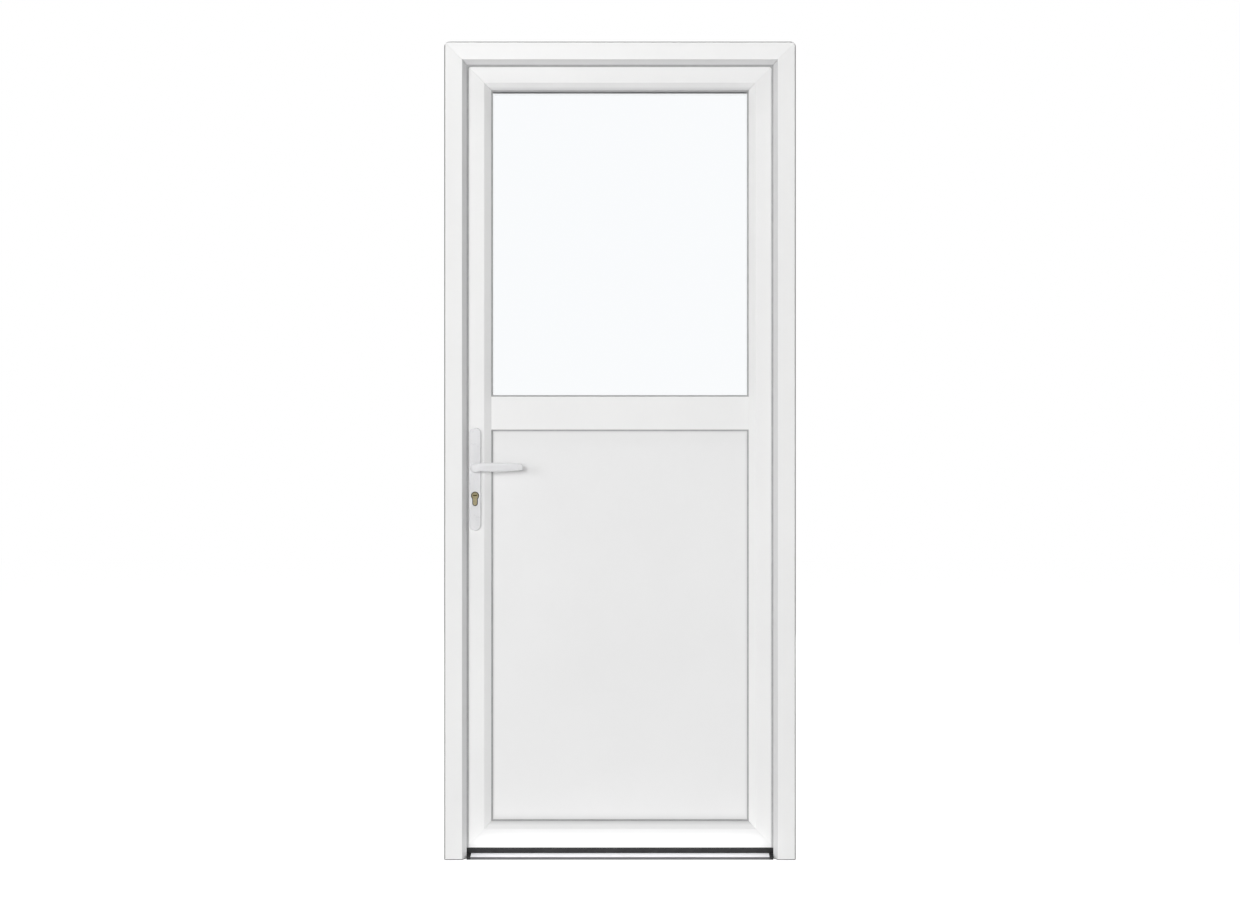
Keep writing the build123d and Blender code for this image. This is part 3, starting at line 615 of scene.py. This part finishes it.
def paint_rim_shade(finish, box, inset, width):
    """Paints shade on a board towards its visible edge, which lies an inset from its box.

    The share is the square of a straight rise over the width, which is doubled at the lower edge.
    """
    tree = finish.node_tree
    x, _, z = axis_values(tree)
    across = calculate(tree, "ABSOLUTE", x)
    x_edge = box[1] - inset
    z_low = box[2] + inset
    z_high = box[3] - inset
    side = ramp(tree, across, x_edge - width, x_edge)
    low = ramp(tree, z, z_low + 2.0 * width, z_low)
    high = ramp(tree, z, z_high - width, z_high)
    rim = calculate(tree, "MAXIMUM", side, calculate(tree, "MAXIMUM", low, high))
    tint(finish, calculate(tree, "MULTIPLY", rim, rim), RIM_PAINTED_SHADE)
    return finish


panel_pvc = white_pvc("panel_pvc", (40, 40, 40), PANEL_WHITE, PANEL_SHADE)
paint_rim_shade(panel_pvc, PANEL_BOX, RIM_INSET, RIM_WIDTH)
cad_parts["lower_panel"].material_slots[0].material = panel_pvc

# Glazing beads: PVC strips with a bevelled edge, cut to length at 45 degrees and snapped into the
# leaf from inside round the glass and round the panel.
BEAD_CORNER = 0.3
BEAD_GROOVE = 0.2
bead_section = rounded([(0, 36, 0.3), (19, 36, 0.4), (19, 50, 1.8), (10, 58, 2.0), (0, 58, 0.4)])
for light, box in LIGHTS.items():
    for side in ("lock", "top", "hinge", "bottom"):
        finish = upright_pvc if side in ("lock", "hinge") else level_pvc
        grid = welded_bar(bead_section, side, box, corner=BEAD_CORNER, groove=BEAD_GROOVE)
        piece = skin(f"{light}_{side}_glazing_bead", grid)
        fit(piece, finish, "white_pvc", "leaf", f"{light}_bead_{side}")

# Leaf seals: a grey lip seal round the flange that meets the frame's inside face, and a black drip
# seal pushed up into the bottom rail that wipes over the sill.
FLANGE_LIP_CORNER = 2.0
DRIP_HALF = 396.0
leaf_seal_section = rounded([
    (-19, 40, 0.3), (-17.8, 35.4, 0.6), (-15.7, 35.4, 0.8), (-12.5, 40, 0.3),
])
piece = skin("leaf_lip_seal", seal_run(leaf_seal_section, LEAF_BOX, FLANGE_LIP_CORNER), ring=True)
fit(piece, grey_rubber, "grey_seal", "leaf", "leaf_seal")
black_rubber = rubber("black_rubber", (0.018, 0.018, 0.019), (0.027, 0.027, 0.028), (0.5, 0.65))
drip_section = rounded([(-10, 20.3, 1.2), (-4, 20.3, 1.2), (-4, 27, 0.3), (-10, 27, 0.3)])
drip = eased_prism(drip_section, -DRIP_HALF, DRIP_HALF, 0.6, ALONG_X)
fit(skin("sill_wiper_seal", drip), black_rubber, "black_plastic", "leaf", "drip_seal")

# Lock strip, bolts and keeps: zinc plated steel. The strip lies in the leaf's edge groove with the
# bolts drawn back in it; the keeps are screwed to the lock jamb, one long one and two short ones.
STRIP_X = -397.0
STRIP_Y = 27.0
STRIP_SCREW = 3.6
STRIP_SCREW_HEIGHTS = (262.0, 330.0, 520.0, 720.0, 880.0, 1060.0, 1240.0, 1450.0, 1640.0, 1752.0, 1818.0)
KEEP_SCREW = 4.0
KEEP_SCREW_INSET = 10.0
TO_LEFT = (-1, 0, 0)
TO_RIGHT = (1, 0, 0)
TO_BACK = (0, 1, 0)
UP = (0, 0, 1)


def zinc_steel(name):
    """Zinc plated steel: a grey metal with a cloudy passivated bloom and fine rolling marks."""
    finish, tree, shader = new_finish(name)
    tone = between(tree, grain(tree, 45, 45, 45), (0.47, 0.48, 0.50), (0.63, 0.63, 0.62))
    tree.links.new(tone, shader.inputs["Base Color"])
    tree.links.new(spread(tree, grain(tree, 150, 150, 150), 0.28, 0.46), shader.inputs["Roughness"])
    tree.links.new(relief(tree, grain(tree, 900, 900, 30), 0.00002), shader.inputs["Normal"])
    shader.inputs["Metallic"].default_value = 1.0
    return finish


def within(distance, half, fall):
    """1 inside a half width and 0 outside it: over the fall, t squared times (3 - 2t) of the way t."""
    t = np.clip((half - np.abs(distance)) / fall, 0, 1)
    return t * t * (3 - 2 * t)


def screw_head(place, across, up, out, radius):
    """A raised countersunk head with a cross recess, as height over a disc in polar coordinates.

    The height is a shallow dome, 0.22 times the radius at the middle, less two crossed slots whose
    sides fall smoothly. Across, up and out are the head's axes; its seat is at the given place.
    """
    ring = np.concatenate(([1.0], np.linspace(1.0, 0.02, 16)))[:, None]
    turn = np.linspace(0, 2 * np.pi, 41)[:-1]
    a = ring * np.cos(turn) * radius
    b = ring * np.sin(turn) * radius
    dome = 0.22 * radius * (1 - ring**2) + 0.05 * radius
    slot_half = 0.2 * radius
    slot_reach = 0.62 * radius
    fall = 0.12 * radius
    first = within(a, slot_half, fall) * within(b, slot_reach, fall)
    second = within(b, slot_half, fall) * within(a, slot_reach, fall)
    height = dome - 0.35 * radius * np.maximum(first, second)
    height[0] = -0.05 * radius
    axes = np.array([across, up, out], float)
    return np.asarray(place, float) + np.stack((a, b, height), axis=-1) @ axes


plated_steel = zinc_steel("plated_steel")
for node in ("lock_strip", "lock_bolts", "latch_keep", "bolt_keep_low", "bolt_keep_high", "lever_spindle"):
    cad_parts[node].material_slots[0].material = plated_steel
strip_screws = [
    screw_head((STRIP_X, STRIP_Y, z), TO_BACK, UP, TO_LEFT, STRIP_SCREW) for z in STRIP_SCREW_HEIGHTS
]
fit(skin("lock_strip_screws", *strip_screws), plated_steel, "zinc_steel", "leaf")
keep_screws = []
for node in ("latch_keep", "bolt_keep_low", "bolt_keep_high"):
    low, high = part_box(node)
    for z in (low.z / MM + KEEP_SCREW_INSET, high.z / MM - KEEP_SCREW_INSET):
        keep_screws.append(screw_head((high.x / MM, STRIP_Y, z), TO_BACK, UP, TO_RIGHT, KEEP_SCREW))
fit(skin("keep_screws", *keep_screws), plated_steel, "zinc_steel", "frame")

# Lock cylinder: a brass profile cylinder pushed through the stile and both handle plates, with a
# turned plug and its key slot at each end. The gap round it in the plates lies in shade, so a black body
# fills that gap as painted shade.
LEVER_X = -372.0
CYLINDER_Z = 932.0
CYLINDER_ENDS = (-22.5, 68.5)
CYLINDER_ROUND = 8.5
STEM_HALF = 5.0
STEM_DROP = 19.5
SLOT_RISE = 0.8
SLOT_HALF_WIDTH = 4.9
SLOT_HALF_HEIGHT = 1.5
SLOT_DEPTH = 2.5
PLUG_RADIUS = 6.4
PLUG_GROOVE_HALF = 0.4
PLUG_GROOVE_DEPTH = 0.5
RIM_DROP = 0.4
SOFT_SIDE = 0.25
GAP_WIDTH = 2.3
GAP_ENDS = (-15.0, 61.0)


def cylinder_outline(grow):
    """The pear shape: a circle that runs into a narrower stem with a round foot, grown all round."""
    round_radius = CYLINDER_ROUND + grow
    stem = STEM_HALF + grow
    meet = np.arccos(stem / round_radius)
    head = np.linspace(-meet, np.pi + meet, 41)
    foot = np.linspace(np.pi, 2 * np.pi, 17)
    a = np.concatenate((round_radius * np.cos(head), stem * np.cos(foot)))
    b = np.concatenate((round_radius * np.sin(head), -STEM_DROP + stem * np.sin(foot)))
    return np.stack((LEVER_X + a, CYLINDER_Z + b), axis=1)


def cylinder_grid():
    """The cylinder as one surface in polar coordinates about its plug, from end to end.

    Each ring is the pear outline times a share between nearly 0 and 1. Both end faces sink by the
    greater of the key slot's depth and that of the groove round the plug, with smooth sides, and
    drop a little at the rim.
    """
    outline = cylinder_outline(0.0) - (LEVER_X, CYLINDER_Z)
    heading = np.unwrap(np.arctan2(outline[:, 1], outline[:, 0]))
    turn = np.linspace(0, 2 * np.pi, 181)[:-1] + heading[0]
    full_turn = np.append(heading, heading[0] + 2 * np.pi)
    sides = [np.interp(turn, full_turn, np.append(side, side[0])) for side in outline.T]
    share = np.append(np.linspace(0.012, 0.97, 48), 1.0)[:, None]
    a = share * sides[0]
    b = share * sides[1]
    level = within(b - SLOT_RISE, SLOT_HALF_HEIGHT, SOFT_SIDE)
    slot = level * within(a, SLOT_HALF_WIDTH, SOFT_SIDE)
    ring = within(np.hypot(a, b) - PLUG_RADIUS, PLUG_GROOVE_HALF, SOFT_SIDE) * (share < 1)
    depth = np.maximum(SLOT_DEPTH * slot, PLUG_GROOVE_DEPTH * ring) + RIM_DROP * (share == 1)
    x = np.concatenate((a, a[::-1])) + LEVER_X
    z = np.concatenate((b, b[::-1])) + CYLINDER_Z
    y = np.concatenate((CYLINDER_ENDS[0] + depth, (CYLINDER_ENDS[1] - depth)[::-1]))
    return np.stack((x, y, z), axis=-1)


def turned_brass(name, face_low, face_high):
    """Satin brass with turning marks round the plug; painted shade darkens what lies sunk in from both end
    faces.
    """
    finish, tree, shader = new_finish(name)
    tone = between(tree, grain(tree, 160, 160, 160), (0.42, 0.365, 0.225), (0.54, 0.475, 0.30))
    tree.links.new(tone, shader.inputs["Base Color"])
    y = axis_values(tree)[1]
    # Painted shade: what lies more than about half a millimetre in from an end face, the key slot and plug
    # groove among it, is painted near black.
    sunk = calculate(
        tree, "MULTIPLY",
        ramp(tree, y, face_low + 0.2, face_low + 0.6), ramp(tree, y, face_high - 0.2, face_high - 0.6),
    )
    tint(finish, sunk, (0.09, 0.07, 0.02))
    tree.links.new(spread(tree, grain(tree, 400, 400, 400), 0.40, 0.54), shader.inputs["Roughness"])
    place = tree.nodes.new("ShaderNodeTexCoord")
    centred = tree.nodes.new("ShaderNodeMapping")
    centred.inputs["Location"].default_value = (-LEVER_X * MM, 0, -CYLINDER_Z * MM)
    rings = tree.nodes.new("ShaderNodeTexWave")
    rings.wave_type = "RINGS"
    rings.rings_direction = "Y"
    rings.inputs["Scale"].default_value = 700.0
    rings.inputs["Distortion"].default_value = 0.5
    tree.links.new(place.outputs["Object"], centred.inputs["Vector"])
    tree.links.new(centred.outputs["Vector"], rings.inputs["Vector"])
    tree.links.new(relief(tree, rings.outputs["Fac"], 0.00002), shader.inputs["Normal"])
    shader.inputs["Metallic"].default_value = 1.0
    return finish


brass = turned_brass("brass_turned", *CYLINDER_ENDS)
fit(skin("brass_cylinder", cylinder_grid()), brass, "brass", "leaf", "lock_cylinder")
gap_shade_body = eased_prism(cylinder_outline(GAP_WIDTH), *GAP_ENDS, 0.2, ALONG_Y)
fit(skin("cylinder_gap_shade", gap_shade_body), black_polyamide, "black_plastic", "leaf")

# Handle plates: long cast plates with round ends and soft edges, powder coated white. They are bored
# for the lever's neck and the cylinder; screws from inside hold the pair together through the leaf.
PLATE_Z = (842.0, 1107.0)
PLATE_HALF = 15.0
PLATE_ROUND = 14.9
PLATE_THICKNESS = 9.0
PLATE_EASE = 3.0
PLATE_SCREW = 4.2
PLATE_SCREW_INSET = 22.0
LEVER_Z = 1004.0
NECK_BORE = 10.9
CYLINDER_BORE_GAP = 2.0


def disc(a, b, radius, count=48):
    """A circle of points about a centre."""
    turn = np.linspace(0, 2 * np.pi, count + 1)[:-1]
    return np.stack((a + radius * np.cos(turn), b + radius * np.sin(turn)), axis=1)


def bored_plate(name, outer, bores, face, out, ease, steps=8):
    """A plate with straight sides, a quarter round to its flat front and bores right through it.

    The outline moves in by ease times (1 - cos t) while it rises by ease times sin t. The flat front
    and the back are filled with triangles between the outline and the bores.
    """
    turn = np.linspace(0, np.pi / 2, steps + 1)
    inset = np.concatenate(([0.0], ease * (1 - np.cos(turn))))
    stand = np.concatenate(([0.0], PLATE_THICKNESS - ease * (1 - np.sin(turn))))
    rim = outer[None] - inset[:, None, None] * outward(outer)[None]
    walls = [(rim, stand)]
    walls += [(np.stack((bore, bore)), np.array([0.0, PLATE_THICKNESS])) for bore in bores]
    points = []
    faces = []
    back = []
    front = []
    count = 0
    for rows, rise in walls:
        index = np.arange(rows.shape[0] * rows.shape[1]).reshape(rows.shape[:2]) + count
        count += index.size
        ahead = np.roll(index, -1, axis=1)
        faces += np.stack((index[:-1], ahead[:-1], ahead[1:], index[1:]), axis=-1).reshape(-1, 4).tolist()
        depth = np.broadcast_to((face + out * rise)[:, None], rows.shape[:2])
        points.append(np.stack((rows[..., 0], depth, rows[..., 1]), axis=-1).reshape(-1, 3))
        back.append(index[0])
        front.append(index[-1])
    points = np.concatenate(points) * MM
    for loops in (back, front):
        corners = np.concatenate(loops)
        flat = [[Vector((x, z, 0)) for x, y, z in points[loop] / MM] for loop in loops]
        faces += [corners[list(corner)].tolist() for corner in tessellate_polygon(flat)]
    mesh = bpy.data.meshes.new(name)
    mesh.from_pydata(points, [], faces)
    shell = bmesh.new()
    shell.from_mesh(mesh)
    bmesh.ops.recalc_face_normals(shell, faces=shell.faces)
    shell.to_mesh(mesh)
    shell.free()
    return as_piece(name, mesh)


def powder_coat(name):
    """White powder coat on cast metal: a satin skin with a soft orange peel."""
    finish, tree, shader = new_finish(name)
    tone = between(tree, grain(tree, 25, 25, 25), (0.70, 0.70, 0.71), (0.76, 0.76, 0.77))
    tree.links.new(tone, shader.inputs["Base Color"])
    tree.links.new(spread(tree, grain(tree, 120, 120, 120), 0.26, 0.38), shader.inputs["Roughness"])
    tree.links.new(relief(tree, grain(tree, 500, 500, 500, 1.0), 0.00006), shader.inputs["Normal"])
    return finish


lacquer = powder_coat("white_powder_coat")
plate_outline = rounded([
    (LEVER_X - PLATE_HALF, PLATE_Z[0], PLATE_ROUND), (LEVER_X + PLATE_HALF, PLATE_Z[0], PLATE_ROUND),
    (LEVER_X + PLATE_HALF, PLATE_Z[1], PLATE_ROUND), (LEVER_X - PLATE_HALF, PLATE_Z[1], PLATE_ROUND),
], steps=14)
plate_bores = [disc(LEVER_X, LEVER_Z, NECK_BORE, 64), cylinder_outline(CYLINDER_BORE_GAP)]
SIDES = (("outside", LEAF_FACES[0], -1), ("inside", LEAF_FACES[1], 1))
for name, face, out in SIDES:
    piece = bored_plate(f"{name}_handle_plate", plate_outline, plate_bores, face, out, PLATE_EASE)
    fit(piece, lacquer, "white_lacquer", "leaf", f"handle_plate_{name}")
plate_screws = [
    screw_head((LEVER_X, LEAF_FACES[1] + PLATE_THICKNESS, z), TO_RIGHT, UP, TO_BACK, PLATE_SCREW)
    for z in (PLATE_Z[0] + PLATE_SCREW_INSET, PLATE_Z[1] - PLATE_SCREW_INSET)
]
fit(skin("plate_screws", *plate_screws), plated_steel, "zinc_steel", "leaf")

# Levers: cast handles in the same white powder coat, one on each side on a common square spindle.
# A round neck stands out from the plate, bends to the right and swells into a flattened grip.
GRIP_Y = 47.0
BEND_RADIUS = 15.0
LEVER_LENGTH = 125.5
LEVER_TIP = 6.0
TIP_POWER = 2.6
LEVER_RUN = (0.0, 16.0, 34.0, 44.0, 57.0, 72.0, 92.0, 120.0, 145.0, 166.0)
LEVER_TOP = (10.4, 10.4, 11.2, 11.6, 11.8, 12.7, 13.3, 12.7, 11.4, 9.8)
LEVER_BOTTOM = (-10.4, -10.4, -11.8, -12.2, -8.4, -9.4, -10.1, -9.2, -7.4, -5.4)
LEVER_HALF_DEPTH = (10.4, 10.4, 9.2, 8.6, 7.6, 7.2, 7.0, 6.8, 6.4, 6.0)
LEVER_POWER = (2.0, 2.0, 2.0, 2.1, 2.4, 2.7, 2.8, 2.8, 2.8, 2.7)


def smooth_between(run, values):
    """A smooth curve through the lever's values: straight runs averaged over a sliding window of 8 mm."""
    window = np.linspace(-4.0, 4.0, 15)
    return np.interp(run[:, None] + window, LEVER_RUN, values).mean(axis=1)


def lever_grid(face, out):
    """A rounded section carried out along the neck, round the bend and along the grip.

    The centre line is straight, then a quarter circle, then straight. Each section is a
    superellipse between the lever's top and bottom lines; over the last millimetres it closes on a
    quarter superellipse to the rounded tip.
    """
    neck_length = GRIP_Y - BEND_RADIUS
    neck = np.linspace(0, neck_length, 17)[:-1]
    bend = np.linspace(0, np.pi / 2, 25)[:-1]
    close = np.sin(np.linspace(0, np.pi / 2, 13))
    straight = np.linspace(BEND_RADIUS, LEVER_LENGTH - LEVER_TIP, 48)[:-1]
    grip = np.concatenate((straight, LEVER_LENGTH - LEVER_TIP + LEVER_TIP * close))
    x = np.concatenate((0 * neck, BEND_RADIUS * (1 - np.cos(bend)), grip))
    stand = np.concatenate((neck, GRIP_Y - BEND_RADIUS * (1 - np.sin(bend)), GRIP_Y + 0 * grip))
    heading = np.concatenate((0 * neck, bend, np.pi / 2 + 0 * grip))
    bend_end = neck_length + BEND_RADIUS * np.pi / 2
    run = np.concatenate((neck, neck_length + BEND_RADIUS * bend, bend_end + grip - BEND_RADIUS))
    whole = np.ones(len(run) - len(close))
    shrink = np.concatenate((whole, (1 - 0.9999 * close**TIP_POWER) ** (1 / TIP_POWER)))
    top = smooth_between(run, LEVER_TOP)
    bottom = smooth_between(run, LEVER_BOTTOM)
    depth = smooth_between(run, LEVER_HALF_DEPTH) * shrink
    power = 2 / smooth_between(run, LEVER_POWER)
    middle = (top + bottom) / 2
    half = (top - bottom) / 2 * shrink
    turn = np.linspace(0, 2 * np.pi, 65)[:-1]
    side = np.sign(np.cos(turn)) * np.abs(np.cos(turn)) ** power[:, None] * depth[:, None]
    rise = np.sign(np.sin(turn)) * np.abs(np.sin(turn)) ** power[:, None] * half[:, None]
    grid_x = LEVER_X + x[:, None] + side * np.cos(heading)[:, None]
    grid_y = face + out * (stand[:, None] - side * np.sin(heading)[:, None])
    grid_z = LEVER_Z + middle[:, None] + rise
    return np.stack((grid_x, grid_y, grid_z), axis=-1)


for name, face, out in SIDES:
    piece = skin(f"{name}_lever_handle", lever_grid(face, out))
    fit(piece, lacquer, "white_lacquer", "lever", f"lever_{name}")

# Hinges: three cast hinges on the inside face, powder coated. Each has a frame half with two end
# knuckles and the pin, and a leaf half with the middle knuckle, both screwed to their members.
HINGE_AXIS = (427.0, 60.0)
HINGE_HEIGHTS = {"bottom": 230.0, "middle": 1040.0, "top": 1850.0}
HINGE_HALF = 49.5
HINGE_EASE = 1.2
KNUCKLE = 8.5
KNUCKLE_ROUND = 8.4
END_KNUCKLE_LENGTH = 30.0
MIDDLE_KNUCKLE_HALF = 19.0
PIN_RADIUS = 4.0
PIN_HALF = 53.5
PIN_EASE = 1.5
FLAP_ROUND = 2.0
FRAME_FLAP_X = (418.5, 444.5)
FRAME_FLAP_Y = (35.0, 39.0)
FRAME_SCREW_X = 440.0
FRAME_SCREW = 3.4
FRAME_SCREW_DROPS = (-38, 0, 38)
LEAF_FLAP_X = (383.0, 417.0)
LEAF_FLAP_Y = (58.0, 62.0)
LEAF_SCREW_X = 395.0
LEAF_SCREW = 3.8
LEAF_SCREW_DROPS = (-38, -13, 13, 38)
LINK_X = (411.0, HINGE_AXIS[0])
LINK_Y = (58.3, 61.6)


def flap(x_ends, y_ends, z, half, radius, ease):
    """A flat plate with rounded corners and eased edges, lying on the inside face about a height."""
    low, high = x_ends
    outline = rounded([
        (low, z - half, radius), (high, z - half, radius), (high, z + half, radius), (low, z + half, radius),
    ])
    return eased_prism(outline, *y_ends, ease, ALONG_Y)


hinge_x, hinge_y = HINGE_AXIS
end_knuckle = rounded([
    (hinge_x - KNUCKLE, FRAME_FLAP_Y[0], 0.6), (hinge_x + KNUCKLE, FRAME_FLAP_Y[0], 0.6),
    (hinge_x + KNUCKLE, hinge_y + KNUCKLE, KNUCKLE_ROUND),
    (hinge_x - KNUCKLE, hinge_y + KNUCKLE, KNUCKLE_ROUND),
], steps=10)
middle_knuckle = disc(hinge_x, hinge_y, KNUCKLE)
pin = disc(hinge_x, hinge_y, PIN_RADIUS)
hinge_screws = {"frame": [], "leaf": []}
for name, z in HINGE_HEIGHTS.items():
    bodies = [flap(FRAME_FLAP_X, FRAME_FLAP_Y, z, HINGE_HALF, FLAP_ROUND, HINGE_EASE)]
    for low in (z - HINGE_HALF, z + HINGE_HALF - END_KNUCKLE_LENGTH):
        bodies += [eased_prism(end_knuckle, low, low + END_KNUCKLE_LENGTH, HINGE_EASE, ALONG_Z)]
    bodies += [eased_prism(pin, z - PIN_HALF, z + PIN_HALF, PIN_EASE, ALONG_Z)]
    piece = skin(f"{name}_hinge_frame_half", *bodies)
    fit(piece, lacquer, "white_lacquer", "frame", f"hinge_frame_{name}")
    low = z - MIDDLE_KNUCKLE_HALF
    high = z + MIDDLE_KNUCKLE_HALF
    bodies = [flap(LEAF_FLAP_X, LEAF_FLAP_Y, z, HINGE_HALF, FLAP_ROUND, HINGE_EASE)]
    bodies += [flap(LINK_X, LINK_Y, z, MIDDLE_KNUCKLE_HALF, 1.0, 0.8)]
    bodies += [eased_prism(middle_knuckle, low, high, HINGE_EASE, ALONG_Z)]
    piece = skin(f"{name}_hinge_leaf_half", *bodies)
    fit(piece, lacquer, "white_lacquer", "leaf", f"hinge_leaf_{name}")
    for drop in FRAME_SCREW_DROPS:
        place = (FRAME_SCREW_X, FRAME_FLAP_Y[1], z + drop)
        hinge_screws["frame"].append(screw_head(place, TO_RIGHT, UP, TO_BACK, FRAME_SCREW))
    for drop in LEAF_SCREW_DROPS:
        place = (LEAF_SCREW_X, LEAF_FLAP_Y[1], z + drop)
        hinge_screws["leaf"].append(screw_head(place, TO_RIGHT, UP, TO_BACK, LEAF_SCREW))
for body, screws in hinge_screws.items():
    fit(skin(f"hinge_screws_{body}", *screws), plated_steel, "zinc_steel", body)

# Light and floor: a white floor in white surroundings. Two soft lamps light the outside face, one of them
# from the left; others stand behind the door, over it and beside it. One lamp is seen only as a shine
# on glossy faces, and two faint strips light the sill.
FLOOR_HALF = 12.0
FLOOR_PALE = (0.88, 0.30)
FLOOR_GLOW = 0.94
WORLD_LIGHT = 0.18
GLOSS_LIGHT = 0.5


def ground_level(tree, plain, gloss):
    """Brightness of the white ground: 1 from the camera and through glass, other levels for the rest."""
    path = tree.nodes.new("ShaderNodeLightPath")
    level = None
    for ray, share in (("Is Camera Ray", 1.0), ("Is Transmission Ray", 1.0), ("Is Glossy Ray", gloss)):
        step = tree.nodes.new("ShaderNodeMapRange")
        step.inputs["To Min"].default_value = plain
        step.inputs["To Max"].default_value = share
        tree.links.new(path.outputs[ray], step.inputs["Value"])
        shown = step.outputs["Result"]
        level = calculate(tree, "MAXIMUM", level, shown) if level else shown
    return level


world = bpy.data.worlds.new("white_surroundings")
world.use_nodes = True
bpy.context.scene.world = world
tree = world.node_tree
backdrop = tree.nodes["Background"]
backdrop.inputs["Color"].default_value = (1, 1, 1, 1)
tree.links.new(ground_level(tree, WORLD_LIGHT, GLOSS_LIGHT), backdrop.inputs["Strength"])

floor_mesh = bpy.data.meshes.new("white_floor")
floor_corners = [(x * FLOOR_HALF, y * FLOOR_HALF, 0) for x, y in ((-1, -1), (1, -1), (1, 1), (-1, 1))]
floor_mesh.from_pydata(floor_corners, [], [(0, 1, 2, 3)])
floor = bpy.data.objects.new("white_floor", floor_mesh)
bpy.context.scene.collection.objects.link(floor)
floor_finish = bpy.data.materials.new("white_floor")
floor_finish.use_nodes = True
tree = floor_finish.node_tree
tree.nodes.remove(tree.nodes["Principled BSDF"])
pale = tree.nodes.new("ShaderNodeBsdfDiffuse")
glow = tree.nodes.new("ShaderNodeEmission")
both = tree.nodes.new("ShaderNodeAddShader")
seen = ground_level(tree, 0.0, GLOSS_LIGHT)
pale_level = tree.nodes.new("ShaderNodeMapRange")
pale_level.inputs["To Min"].default_value = FLOOR_PALE[0]
pale_level.inputs["To Max"].default_value = FLOOR_PALE[1]
tree.links.new(seen, pale_level.inputs["Value"])
tree.links.new(pale_level.outputs["Result"], pale.inputs["Color"])
glow_level = tree.nodes.new("ShaderNodeMath")
glow_level.operation = "MULTIPLY"
glow_level.inputs[1].default_value = FLOOR_GLOW
tree.links.new(seen, glow_level.inputs[0])
tree.links.new(glow_level.outputs[0], glow.inputs["Strength"])
tree.links.new(pale.outputs[0], both.inputs[0])
tree.links.new(glow.outputs[0], both.inputs[1])
tree.links.new(both.outputs[0], tree.nodes["Material Output"].inputs["Surface"])
floor_mesh.materials.append(floor_finish)


def soft_lamp(name, power, place, aim, size, shine=False):
    """A rectangular lamp of so many watts that faces a point: it lights surfaces, or only shines in them."""
    lamp_data = bpy.data.lights.new(name, "AREA")
    lamp_data.shape = "RECTANGLE"
    lamp_data.size, lamp_data.size_y = size
    lamp_data.energy = power
    lamp = bpy.data.objects.new(name, lamp_data)
    lamp.location = place
    lamp.rotation_euler = (Vector(aim) - Vector(place)).to_track_quat("-Z", "Y").to_euler()
    lamp.visible_camera = False
    lamp.visible_diffuse = not shine
    lamp.visible_glossy = shine
    lamp.visible_transmission = False
    bpy.context.scene.collection.objects.link(lamp)


soft_lamp("front_lamp", 300.0, (-0.9, -8.3, 1.75), (0, 0, 1.05), (1.6, 1.6))
soft_lamp("side_lamp", 125.0, (-5.0, -6.6, 1.75), (0, 0, 1.05), (3.0, 2.4))
soft_lamp("back_lamp", 158.0, (0.95, 5.2, 1.9), (0, 0, 1.05), (3.0, 3.0))
soft_lamp("top_lamp", 62.0, (0, -0.8, 6.0), (0, -0.1, 1.0), (1.6, 0.6))
soft_lamp("left_lamp", 46.0, (-4.5, 0.75, 1.2), (0, 0.1, 1.05), (0.9, 2.2))
soft_lamp("right_lamp", 46.0, (4.5, 0.75, 1.2), (0, 0.1, 1.05), (0.9, 2.2))
soft_lamp("shine_lamp", 70.0, (-1.2, -4.5, 4.4), (0, 0, 1.0), (1.6, 1.6), shine=True)
soft_lamp("sill_light", 0.07, (0, -0.065, 0.03), (0, 1.0, 0.03), (0.74, 0.05))
soft_lamp("slope_light", 0.045, (0, -0.045, 0.05), (0, -0.02, 0.01), (0.74, 0.02))

bpy.context.scene.view_settings.view_transform = "Standard"
